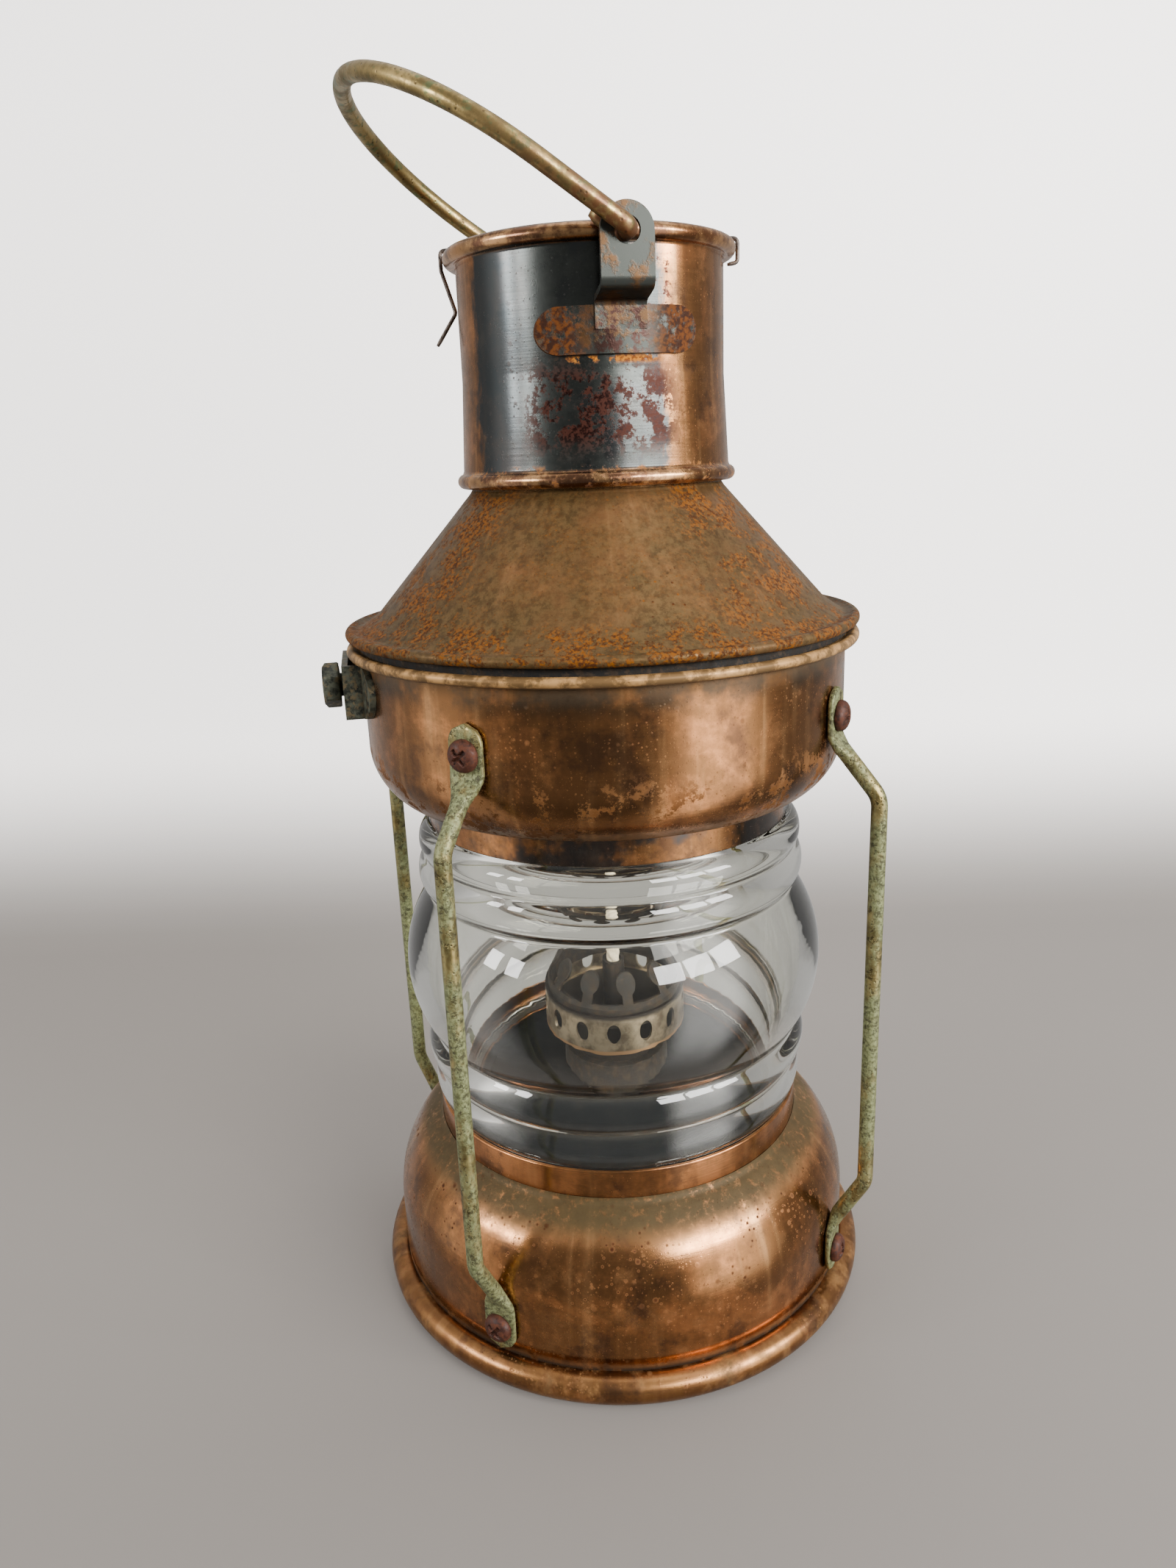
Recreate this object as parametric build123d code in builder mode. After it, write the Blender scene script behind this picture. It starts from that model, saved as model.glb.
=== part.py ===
from build123d import *

import math
import os

# A small ship's anchor lantern: a copper hood and bowl over a ribbed glass, four guard rods, and a
# copper base that holds an oil font with a wick burner.
#
# Sizes are in millimetres. +Z is up, the origin is on the floor under the lantern's axis, the bail's
# hinge runs along Y and the front bail bracket is towards -Y. Angles are counted from +X towards +Y.

os.makedirs("parts", exist_ok=True)

# Sheet, wire and fit
sheet = 1.0
wire = 4.0
running_gap = 0.05
turning_gap = 0.4

# Base
foot_radius = 70.0
bead_radius = 4.0
bead_height = 3.8
base_radius = 65.0
shoulder_start = 24.0
shoulder_radius = 27.0
collar_radius = 51.4
collar_foot = 46.0
collar_top = 56.0
seat_height = 49.0
seat_bore = 45.5
ledge_inner_radius = 57.0
ledge_bottom = 8.0
ledge_thickness = 1.2

# Glass
gasket_thickness = 1.6
glass_foot = 50.6
glass_foot_radius = 49.8
glass_foot_bore = 46.4
glass_head_radius = 46.9
glass_head_bore = 43.9
glass_head = 143.0
rib_heights = (56.2, 66.0, 77.0, 117.2, 127.8, 135.8)
rib_notch_radii = (50.5, 51.0, 51.4, 50.0, 50.3, 49.0)
rib_crowns = (1.5, 2.2, 6.7, 2.2, 2.0)
bulge_bore = 53.6

# Bowl and its neck
neck_radius = 48.3
neck_foot = 136.3
neck_bore = 42.5
neck_flange_radius = 52.0
bowl_radius = 62.2
bowl_round = 16.0
bowl_round_height = 158.7
bowl_floor = 144.8
bowl_flange_height = 183.1
flange_edge_radius = 64.3
rolled_edge = 1.3

# Hood
hood_flange_height = 187.4
cone_flare = (61.0, 58.7, 57.0)
cone_flare_top = 191.5
cone_head = (31.9, 219.8)
cone_collar_radius = 31.4
cone_collar_sheet = 0.8
cone_collar_top = 228.0
chimney_sheet = 0.9
chimney_radius = 31.9
chimney_foot_radius = 32.9
chimney_foot = 222.8
chimney_straight = 246.0
rim_height = 273.2
bead = 1.8
foot_bead_radius = 32.8
rim_bead_radius = 33.0
skirt_radius = 60.0
skirt_foot = 174.0
skirt_lip_radius = 62.4
pin_height = 180.0
pin_radius = 1.5
pin_reach = 57.5
pin_angles = (30.0, 150.0, 270.0)
hood_turn_degrees = 25.0

# Bail and its brackets
bracket_sheet = 1.2
pad_height = 253.8
pad_length = 36.4
pad_width = 9.8
ear_width = 11.5
ear_radius = 40.2
ear_step = (259.8, 261.6)
ear_bend = 1.8
ear_top = 277.4
hinge_height = 271.8
ear_hole_radius = 2.8
bail_hook_offset = 37.2
bail_hook = 8.0
bail_foot_offset = 43.3
bail_half_width = 44.5
bail_leg = 24.0
bail_crown = 41.0
bail_bend = 2.4
bail_lean = 56.6

# Vent cap and its spring clip
vent_flange_radius = 32.0
vent_flange_height = 274.72
vent_wall_radius = 30.4
vent_floor = 267.0
vent_sheet = 0.6
clip_wire = 1.0
clip_height = 275.9
clip_angle = 168.5

# Guard rods
guard_angles = {
    "guard_back_right": 49.5,
    "guard_back_left": 139.5,
    "guard_front_left": 229.5,
    "guard_front_right": 319.5,
}
guard_radius = 74.3
guard_top = 147.0
guard_bottom = 40.0
guard_bend = 7.0
lug_width = 9.0
lug_thickness = 1.6
lug_gap = 0.05
upper_lug = (160.5, 173.3)
lower_lug = (9.5, 24.0)
screw_heights = (166.3, 16.2)
screw_radius = 1.95
screw_hole_radius = 2.15
screw_head_radius = 3.8
screw_head_height = 2.6
screw_length = 9.5
nut_flats = 7.0
nut_height = 3.2

# Side socket, on the bowl's -X side
socket_height = 174.8
strap_width = 13.2
strap_thickness = 1.5
strap_face = 66.9
strap_half_width = 12.5
strap_foot_reach = 19.0
bolt_radius = 2.95
bolt_head_flats = 10.0
bolt_head_height = 4.2
bolt_head_start = 67.9
bolt_tip = 64.4

# Font and burner
font_radius = 55.0
font_bottom = 4.0
font_shoulder = 38.0
font_top_height = 46.7
font_top_radius = 48.0
font_neck_radius = 14.0
font_neck_top = 63.2
lug_reach = 61.0
font_lug_width = 12.0
font_turn_degrees = 40.0
font_lug_angles = (20.0, 140.0, 260.0)
burner_sheet = 0.8
burner_foot_radius = 13.0
burner_foot = 64.0
drum_radius = 20.4
drum_floor = 71.6
drum_skirt = 70.4
drum_top = 80.5
air_hole_count = 14
air_hole_height = 75.7
prong_count = 10
prong_top = 90.0
prong_lean = 4.5
prong_head_radius = 2.7
prong_stem = 2.8
wick_radius = 2.0
wick_top = 93.2
wick_foot = 18.0
tube_radius = 3.2
tube_bore = 2.4
tube_top = 86.0
spindle_height = 67.8
spindle_offset = 5.4
spindle_radius = 0.9
wheel_radius = 3.0
knob_radius = 5.5
knob_start = 26.0
knob_thickness = 1.8


def save(piece, name):
    """Label a finished piece and write it to its own file."""
    piece.part.label = name
    export_step(piece.part, f"parts/{name}.step")


def outward_plane(angle, radius, height):
    """A plane facing away from the lantern's axis: local X runs round the lantern, local Y is up."""
    turn = math.radians(angle)
    return Plane(
        origin=(radius * math.cos(turn), radius * math.sin(turn), height),
        x_dir=(-math.sin(turn), math.cos(turn), 0),
        z_dir=(math.cos(turn), math.sin(turn), 0),
    )


def upright_plane(angle):
    """An upright plane through the axis: local X is the radius at this angle, local Y is up."""
    turn = math.radians(angle)
    return Plane(
        origin=(0, 0, 0),
        x_dir=(math.cos(turn), math.sin(turn), 0),
        z_dir=(math.sin(turn), -math.cos(turn), 0),
    )


def screw_places():
    """Outward planes of the guard screws, on the outer faces of the rods' lugs."""
    wall_radii = (bowl_radius, base_radius)
    return [
        outward_plane(angle, wall + lug_thickness, height)
        for angle in guard_angles.values()
        for wall, height in zip(wall_radii, screw_heights)
    ]


# ---------------------------------------------------------------- base

with BuildPart() as base_shell:
    with BuildSketch(Plane.XZ):
        with BuildLine():
            inner_wall = base_radius - sheet
            inner_round = shoulder_radius - sheet
            round_centre = base_radius - shoulder_radius
            rise_outer = math.degrees(math.acos((collar_radius - round_centre) / shoulder_radius))
            rise_inner = math.degrees(math.acos((collar_radius - round_centre) / inner_round))
            outer_arc = CenterArc((round_centre, shoulder_start), shoulder_radius, 0, rise_outer)
            inner_arc = CenterArc((round_centre, shoulder_start), inner_round, 0, rise_inner)
            Line(outer_arc @ 1, inner_arc @ 1)
            Polyline(
                inner_arc @ 0,
                (inner_wall, bead_height),
                (base_radius, bead_height),
                outer_arc @ 0,
            )
        make_face()
    revolve(axis=Axis.Z)
    # holes for the guard screws
    for angle in guard_angles.values():
        with BuildSketch(outward_plane(angle, base_radius - 4, screw_heights[1])):
            Circle(screw_hole_radius)
        extrude(amount=8, mode=Mode.SUBTRACT)
save(base_shell, "base_shell")

# The rolled bead under the base: flat below, with the groove in which the shell's lower edge is closed
with BuildPart() as foot_ring:
    with BuildSketch(Plane.XZ):
        with Locations((foot_radius - bead_radius, bead_height)):
            Circle(bead_radius)
        with Locations((base_radius - sheet / 2, bead_height + bead_radius)):
            Rectangle(sheet, 2 * bead_radius, mode=Mode.SUBTRACT)
        with Locations((foot_radius, -bead_radius)):
            Rectangle(4 * bead_radius, 2 * bead_radius, mode=Mode.SUBTRACT)
    revolve(axis=Axis.Z)
save(foot_ring, "foot_ring")

# The ring inside the base on which the font's lugs hang, with a notch for each lug to drop through
with BuildPart() as font_ledge:
    with BuildSketch(Plane.XY.offset(ledge_bottom)):
        Circle(base_radius - sheet)
        Circle(ledge_inner_radius, mode=Mode.SUBTRACT)
        for lug_angle in font_lug_angles:
            with PolarLocations(ledge_inner_radius, 1, start_angle=lug_angle + font_turn_degrees):
                Rectangle(
                    2 * (lug_reach + 0.6 - ledge_inner_radius),
                    font_lug_width + 2,
                    mode=Mode.SUBTRACT,
                )
    extrude(amount=ledge_thickness)
save(font_ledge, "font_ledge")

with BuildPart() as lower_collar:
    with BuildSketch(Plane.XZ):
        with BuildLine():
            Polyline(
                (collar_radius, collar_foot),
                (collar_radius, collar_top),
                (collar_radius - sheet, collar_top),
                (collar_radius - sheet, seat_height),
                (seat_bore, seat_height),
                (seat_bore, seat_height - sheet),
                (collar_radius - sheet, seat_height - sheet),
                (collar_radius - sheet, collar_foot),
                close=True,
            )
        make_face()
    revolve(axis=Axis.Z)
save(lower_collar, "lower_collar")

# ---------------------------------------------------------------- glass


def crowned_arc(low, high, crown):
    """An arc between two points of an outline, standing out from their chord by the crown."""
    middle = ((low[0] + high[0]) / 2, (low[1] + high[1]) / 2)
    run = math.dist(low, high)
    out = ((high[1] - low[1]) / run, (low[0] - high[0]) / run)
    ThreePointArc(low, (middle[0] + crown * out[0], middle[1] + crown * out[1]), high)


notches = list(zip(rib_notch_radii, rib_heights))

with BuildPart() as glass_globe:
    with BuildSketch(Plane.XZ):
        with BuildLine():
            Polyline(
                (glass_foot_bore, glass_foot),
                (glass_foot_radius, glass_foot),
                (glass_foot_radius, rib_heights[0] - 0.2),
                notches[0],
            )
            for low, high, crown in zip(notches[:-1], notches[1:], rib_crowns):
                crowned_arc(low, high, crown)
            Polyline(
                notches[-1],
                (glass_head_radius, rib_heights[-1] + 0.2),
                (glass_head_radius, glass_head),
                (glass_head_bore, glass_head),
                (glass_head_bore, rib_heights[-1] + 2),
                (glass_foot_bore, rib_heights[-2]),
                (glass_foot_bore, rib_heights[-3] + 2),
            )
            ThreePointArc(
                (glass_foot_bore, rib_heights[-3] + 2),
                (bulge_bore, (rib_heights[2] + rib_heights[3]) / 2),
                (glass_foot_bore, rib_heights[2] - 2),
            )
            Line((glass_foot_bore, rib_heights[2] - 2), (glass_foot_bore, glass_foot))
        make_face()
    revolve(axis=Axis.Z)
save(glass_globe, "glass_globe")

with BuildPart() as lower_gasket:
    with BuildSketch(Plane.XY.offset(seat_height)):
        Circle(glass_foot_radius + 0.2)
        Circle(glass_foot_bore - 0.1, mode=Mode.SUBTRACT)
    extrude(amount=gasket_thickness)
save(lower_gasket, "lower_gasket")

with BuildPart() as upper_gasket:
    with BuildSketch(Plane.XY.offset(glass_head)):
        Circle(neck_radius - sheet)
        Circle(glass_head_bore, mode=Mode.SUBTRACT)
    extrude(amount=gasket_thickness)
save(upper_gasket, "upper_gasket")

# ---------------------------------------------------------------- bowl

# The neck holds the glass's head and hangs by its top flange in the bowl's bottom
with BuildPart() as neck_collar:
    with BuildSketch(Plane.XZ):
        with BuildLine():
            neck_inner = neck_radius - sheet
            neck_ledge = glass_head + gasket_thickness
            neck_hang = bowl_floor + sheet
            Polyline(
                (neck_inner, neck_foot),
                (neck_radius, neck_foot),
                (neck_radius, neck_hang),
                (neck_flange_radius, neck_hang),
                (neck_flange_radius, neck_hang + sheet),
                (neck_inner, neck_hang + sheet),
                (neck_inner, neck_ledge + sheet),
                (neck_bore, neck_ledge + sheet),
                (neck_bore, neck_ledge),
                (neck_inner, neck_ledge),
                close=True,
            )
        make_face()
    revolve(axis=Axis.Z)
save(neck_collar, "neck_collar")

flange_low = bowl_flange_height - sheet / 2
flange_top = bowl_flange_height + sheet / 2

with BuildPart() as upper_bowl:
    with BuildSketch(Plane.XZ):
        with BuildLine():
            bowl_middle = (bowl_radius - bowl_round, bowl_round_height)
            drop = bowl_round_height - bowl_floor
            turn_outer = math.degrees(math.asin(drop / bowl_round))
            turn_inner = math.degrees(math.asin((drop - sheet) / (bowl_round - sheet)))
            outer_bend = CenterArc(bowl_middle, bowl_round, -turn_outer, turn_outer)
            inner_bend = CenterArc(bowl_middle, bowl_round - sheet, -turn_inner, turn_inner)
            Polyline(
                outer_bend @ 1,
                (bowl_radius, flange_low),
                (flange_edge_radius, flange_low),
                (flange_edge_radius, flange_top),
                (bowl_radius - sheet, flange_top),
                inner_bend @ 1,
            )
            Polyline(
                inner_bend @ 0,
                (neck_radius, bowl_floor + sheet),
                (neck_radius, bowl_floor),
                outer_bend @ 0,
            )
        make_face()
        with Locations((flange_edge_radius, bowl_flange_height)):
            Circle(rolled_edge)
    revolve(axis=Axis.Z)
    # holes for the guard screws
    for angle in guard_angles.values():
        with BuildSketch(outward_plane(angle, bowl_radius - 4, screw_heights[0])):
            Circle(screw_hole_radius)
        extrude(amount=8, mode=Mode.SUBTRACT)
save(upper_bowl, "upper_bowl")

# Pins soldered inside the bowl, which hold the hood's skirt by its slots
with BuildPart() as bayonet_pins:
    for pin_angle in pin_angles:
        with BuildSketch(outward_plane(pin_angle, pin_reach, pin_height)):
            Circle(pin_radius)
        extrude(amount=bowl_radius - sheet - 0.03 - pin_reach)
save(bayonet_pins, "bayonet_pins")

# ---------------------------------------------------------------- hood

hood_low = hood_flange_height - sheet / 2
hood_top = hood_flange_height + sheet / 2

with BuildPart() as hood_cone:
    with BuildSketch(Plane.XZ):
        with BuildLine():
            slope = math.atan2(cone_head[1] - cone_flare_top, cone_flare[2] - cone_head[0])
            inward = (-sheet * math.sin(slope), -sheet * math.cos(slope))
            collar_bore = cone_collar_radius - cone_collar_sheet
            flare_middle = hood_top + 0.42 * (cone_flare_top - hood_top)
            flare_inner = (cone_flare[2] + inward[0], cone_flare_top + inward[1])
            Line((flange_edge_radius, hood_top), (cone_flare[0], hood_top))
            ThreePointArc(
                (cone_flare[0], hood_top),
                (cone_flare[1], flare_middle),
                (cone_flare[2], cone_flare_top),
            )
            Polyline(
                (cone_flare[2], cone_flare_top),
                cone_head,
                (cone_collar_radius, cone_head[1] + 0.6),
                (cone_collar_radius, cone_collar_top),
                (collar_bore, cone_collar_top),
                (collar_bore, cone_head[1] - 0.6),
                flare_inner,
            )
            ThreePointArc(
                flare_inner,
                (cone_flare[1] - 0.8, flare_middle - 0.75),
                (cone_flare[0] - 0.5, hood_low),
            )
            Polyline(
                (cone_flare[0] - 0.5, hood_low),
                (flange_edge_radius, hood_low),
                (flange_edge_radius, hood_top),
            )
        make_face()
        with Locations((flange_edge_radius, hood_flange_height)):
            Circle(rolled_edge)
    revolve(axis=Axis.Z)
save(hood_cone, "hood_cone")

# The skirt centres the hood in the bowl. Each of its slots lets one pin in and locks it after a turn.
with BuildPart() as hood_skirt:
    with BuildSketch(Plane.XZ):
        with BuildLine():
            skirt_inner = skirt_radius - sheet
            lip_low = flange_top + 0.3
            Polyline(
                (skirt_inner, skirt_foot),
                (skirt_radius, skirt_foot),
                (skirt_radius, lip_low),
                (skirt_lip_radius, lip_low),
                (skirt_lip_radius, hood_low - 0.4),
                (skirt_radius + 1, hood_low),
                (skirt_inner, hood_low),
                close=True,
            )
        make_face()
    revolve(axis=Axis.Z)
    slot_half = pin_radius + 0.4
    slot_margin = 2.2
    for pin_angle in pin_angles:
        run_start = pin_angle - hood_turn_degrees - slot_margin
        with BuildSketch(upright_plane(run_start)):
            with Locations((skirt_radius, pin_height)):
                Rectangle(4, 2 * slot_half)
        revolve(axis=Axis.Z, revolution_arc=hood_turn_degrees + 2 * slot_margin, mode=Mode.SUBTRACT)
        with BuildSketch(upright_plane(run_start)):
            with Locations((skirt_radius, (skirt_foot + pin_height) / 2 - 1)):
                Rectangle(4, pin_height - skirt_foot + 2)
        revolve(axis=Axis.Z, revolution_arc=2 * slot_margin, mode=Mode.SUBTRACT)
save(hood_skirt, "hood_skirt")

with BuildPart() as chimney_tube:
    with BuildSketch(Plane.XZ):
        with BuildLine():
            Polyline(
                (chimney_foot_radius, chimney_foot),
                (chimney_foot_radius, chimney_foot + 3.2),
                (chimney_radius, chimney_straight),
                (chimney_radius, rim_height),
                (chimney_radius - chimney_sheet, rim_height),
                (chimney_radius - chimney_sheet, chimney_straight),
                (chimney_foot_radius - chimney_sheet, chimney_foot + 3.2),
                (chimney_foot_radius - chimney_sheet, chimney_foot),
                close=True,
            )
        make_face()
        with Locations((foot_bead_radius, chimney_foot), (rim_bead_radius, rim_height)):
            Circle(bead)
        with Locations((cone_collar_radius - 2, chimney_foot)):
            Rectangle(4, 8, mode=Mode.SUBTRACT)
    revolve(axis=Axis.Z)
save(chimney_tube, "chimney_tube")

# ---------------------------------------------------------------- bail and its brackets

# The ear steps out over the rim's bead and carries the bail's hole. It's bent strip, cut to a round top.
with BuildPart() as bracket_ear:
    with BuildSketch(Plane.YZ):
        with BuildLine():
            strip_middle = chimney_radius + bracket_sheet / 2
            FilletPolyline(
                (-strip_middle, pad_height),
                (-strip_middle, ear_step[0]),
                (-ear_radius, ear_step[1]),
                (-ear_radius, ear_top),
                radius=ear_bend,
            )
        trace(line_width=bracket_sheet)
    extrude(amount=ear_width / 2, both=True)
    with BuildSketch(Plane.XZ):
        with Locations((0, (pad_height + ear_top) / 2 - ear_width / 4)):
            Rectangle(ear_width, ear_top - pad_height - ear_width / 2)
        with Locations((0, ear_top - ear_width / 2)):
            Circle(ear_width / 2)
        with Locations((0, hinge_height)):
            Circle(ear_hole_radius, mode=Mode.SUBTRACT)
    extrude(amount=60, mode=Mode.INTERSECT)

with BuildPart() as bail_bracket_front:
    with BuildSketch(Plane.XY.offset(pad_height - pad_width / 2)):
        Circle(chimney_radius + bracket_sheet)
        Circle(chimney_radius, mode=Mode.SUBTRACT)
    extrude(amount=pad_width)
    with BuildSketch(Plane.XZ):
        with Locations((0, pad_height)):
            SlotOverall(pad_length, pad_width)
    extrude(amount=60, mode=Mode.INTERSECT)
    add(bracket_ear.part)
save(bail_bracket_front, "bail_bracket_front")

with BuildPart() as bail_bracket_back:
    add(bail_bracket_front.part)
    mirror(about=Plane.XZ, mode=Mode.REPLACE)
save(bail_bracket_back, "bail_bracket_back")

# One wire: a hook inside each ear, a leg outside it, and a crown over the top
lean = math.radians(bail_lean)
bail_plane = Plane(
    origin=(0, 0, hinge_height),
    x_dir=(0, 1, 0),
    z_dir=(math.cos(lean), 0, math.sin(lean)),
)

with BuildPart() as bail:
    with BuildLine(bail_plane):
        near_leg = FilletPolyline(
            (-bail_hook_offset, bail_hook),
            (-bail_hook_offset, 0),
            (-bail_foot_offset, 0),
            (-bail_half_width, bail_leg - 2),
            (-bail_half_width, bail_leg),
            radius=bail_bend,
        )
        EllipticalCenterArc((0, bail_leg), bail_half_width, bail_crown, arc_size=180)
        FilletPolyline(
            (bail_half_width, bail_leg),
            (bail_half_width, bail_leg - 2),
            (bail_foot_offset, 0),
            (bail_hook_offset, 0),
            (bail_hook_offset, bail_hook),
            radius=bail_bend,
        )
    with BuildSketch(Plane(origin=near_leg @ 0, z_dir=near_leg % 0)):
        Circle(wire / 2)
    sweep()
save(bail, "bail")

# ---------------------------------------------------------------- vent cap and clip

with BuildPart() as vent_cap:
    with BuildSketch(Plane.XZ):
        with BuildLine():
            vent_inner = vent_wall_radius - vent_sheet
            Polyline(
                (0, vent_floor),
                (vent_wall_radius, vent_floor),
                (vent_wall_radius, vent_flange_height),
                (vent_flange_radius, vent_flange_height),
                (vent_flange_radius, vent_flange_height + vent_sheet),
                (vent_inner, vent_flange_height + vent_sheet),
                (vent_inner, vent_floor + vent_sheet),
                (0, vent_floor + vent_sheet),
                close=True,
            )
        make_face()
    revolve(axis=Axis.Z)
    with BuildSketch(Plane.XY.offset(vent_floor - 1)):
        with PolarLocations(20, 8):
            Circle(5)
        Circle(5)
    extrude(amount=3, mode=Mode.SUBTRACT)
save(vent_cap, "vent_cap")

# A spring wire across the mouth, hooked under the rim on one side and sprung down outside it on the other
clip_reach = rim_bead_radius + bead + clip_wire / 2 + 0.1

with BuildPart() as cap_clip:
    with BuildLine(upright_plane(clip_angle)):
        clip_path = FilletPolyline(
            (-rim_bead_radius, rim_height - 3),
            (-clip_reach, rim_height - 2.6),
            (-clip_reach, clip_height),
            (clip_reach, clip_height),
            (clip_reach, rim_height - 1.7),
            (chimney_radius + clip_wire / 2 + 0.1, rim_height - 11.2),
            (chimney_radius + 5.6, rim_height - 18.5),
            radius=1.2,
        )
    with BuildSketch(Plane(origin=clip_path @ 0, z_dir=clip_path % 0)):
        Circle(clip_wire / 2)
    sweep()
save(cap_clip, "cap_clip")

# ---------------------------------------------------------------- guard rods


def guard_rod(angle):
    """One bent rod: a lug on the bowl, a straight length clear of the glass, and a lug on the base."""
    plane = upright_plane(angle)
    across = (-math.sin(math.radians(angle)), math.cos(math.radians(angle)), 0)
    upper_neck = (bowl_radius + wire / 2 + 0.2, upper_lug[0] - 1.5)
    lower_neck = (base_radius + wire / 2 + 0.4, lower_lug[1] + 3.5)
    middle = (lug_gap + lug_thickness) / 2
    tongues = (
        (bowl_radius + middle, upper_lug[0] + 1.9),
        (base_radius + middle, lower_lug[1] - 1.9),
    )
    with BuildPart() as rod:
        with BuildLine(plane):
            path = FilletPolyline(
                upper_neck,
                (guard_radius, guard_top),
                (guard_radius, guard_bottom),
                lower_neck,
                radius=guard_bend,
            )
        with BuildSketch(Plane(origin=path @ 0, z_dir=path % 0)):
            Circle(wire / 2)
        sweep()
        # the drilled lugs, flat against the two walls
        for wall, lug, hole in (
            (bowl_radius, upper_lug, screw_heights[0]),
            (base_radius, lower_lug, screw_heights[1]),
        ):
            with BuildSketch(outward_plane(angle, wall + lug_gap, hole)):
                with Locations((0, (lug[0] + lug[1]) / 2 - hole)):
                    SlotOverall(lug[1] - lug[0], lug_width, rotation=90)
                Circle(screw_hole_radius, mode=Mode.SUBTRACT)
            extrude(amount=lug_thickness - lug_gap)
        # the forged taper from each lug to the round rod
        for end, tongue in zip((0, 1), tongues):
            with BuildSketch(Plane(plane.from_local_coords((tongue[0], tongue[1], 0)), across, (0, 0, 1))):
                Ellipse(lug_width / 2 - 0.9, (lug_thickness - lug_gap) / 2)
            with BuildSketch(Plane(path @ end, across, (path % end) * (1 if (path % end).Z > 0 else -1))):
                Circle(wire / 2)
            loft()
    return rod


for guard_name, guard_angle in guard_angles.items():
    save(guard_rod(guard_angle), guard_name)

# One round-headed screw with a cross recess, standing on its head's underside and pointing down
with BuildPart() as guard_screw:
    with BuildSketch(Plane.XZ):
        with BuildLine():
            Polyline(
                (0, screw_head_height),
                (0, -screw_length),
                (screw_radius, -screw_length),
                (screw_radius, 0),
                (screw_head_radius, 0),
                (screw_head_radius, 0.7),
            )
            ThreePointArc(
                (screw_head_radius, 0.7),
                (screw_head_radius * 0.66, screw_head_height * 0.79),
                (0, screw_head_height),
            )
        make_face()
    revolve(axis=Axis.Z)
    with BuildSketch(Plane.XY.offset(screw_head_height)):
        Rectangle(4.4, 0.95, rotation=35)
        Rectangle(0.95, 4.4, rotation=35)
    extrude(amount=-1.5, mode=Mode.SUBTRACT)

with BuildPart() as guard_screws:
    for place in screw_places():
        with Locations(place):
            add(guard_screw.part)
save(guard_screws, "guard_screws")

with BuildPart() as guard_nut:
    with BuildSketch(Plane.XY):
        RegularPolygon(nut_flats / 2, 6, major_radius=False)
        Circle(screw_radius + 0.02, mode=Mode.SUBTRACT)
    extrude(amount=-nut_height)

with BuildPart() as guard_nuts:
    for place in screw_places():
        with Locations(place.offset(-lug_thickness - sheet - 0.2)):
            add(guard_nut.part)
save(guard_nuts, "guard_nuts")

# ---------------------------------------------------------------- side socket

# A strap bent like a wide bridge: its flat middle stands off the bowl and its two feet follow the wall
with BuildPart() as socket_strap:
    foot_inner = bowl_radius + 0.02
    foot_start = math.degrees(math.asin((strap_half_width - strap_thickness) / bowl_radius))
    foot_end = math.degrees(math.asin((strap_foot_reach + 0.5) / bowl_radius))
    with BuildSketch(Plane.XY.offset(socket_height - strap_width / 2)):
        with Locations((-strap_face + 5, 0)):
            Rectangle(10, 2 * strap_half_width)
        with Locations((-strap_face + strap_thickness + 5, 0)):
            Rectangle(10, 2 * (strap_half_width - strap_thickness), mode=Mode.SUBTRACT)
        Circle(foot_inner, mode=Mode.SUBTRACT)
        for side in (-1, 1):
            with BuildLine():
                sweep_angle = side * (foot_end - foot_start)
                inner_edge = CenterArc((0, 0), foot_inner, 180 + side * foot_start, sweep_angle)
                outer_edge = CenterArc(
                    (0, 0), bowl_radius + strap_thickness, 180 + side * foot_start, sweep_angle
                )
                Line(inner_edge @ 0, outer_edge @ 0)
                Line(inner_edge @ 1, outer_edge @ 1)
            make_face()
    extrude(amount=strap_width)
    with BuildSketch(Plane.YZ):
        with Locations((0, socket_height)):
            SlotOverall(2 * strap_foot_reach, strap_width)
            Circle(bolt_radius + running_gap, mode=Mode.SUBTRACT)
    extrude(amount=-90, mode=Mode.INTERSECT)
save(socket_strap, "socket_strap")

with BuildPart() as socket_bolt:
    with BuildSketch(outward_plane(180, bolt_head_start, socket_height)):
        RegularPolygon(bolt_head_flats / 2, 6, major_radius=False, rotation=30)
    extrude(amount=bolt_head_height)
    with BuildSketch(outward_plane(180, bolt_tip, socket_height)):
        Circle(bolt_radius)
    extrude(amount=bolt_head_start - bolt_tip)
save(socket_bolt, "socket_bolt")

# ---------------------------------------------------------------- oil font

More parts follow.
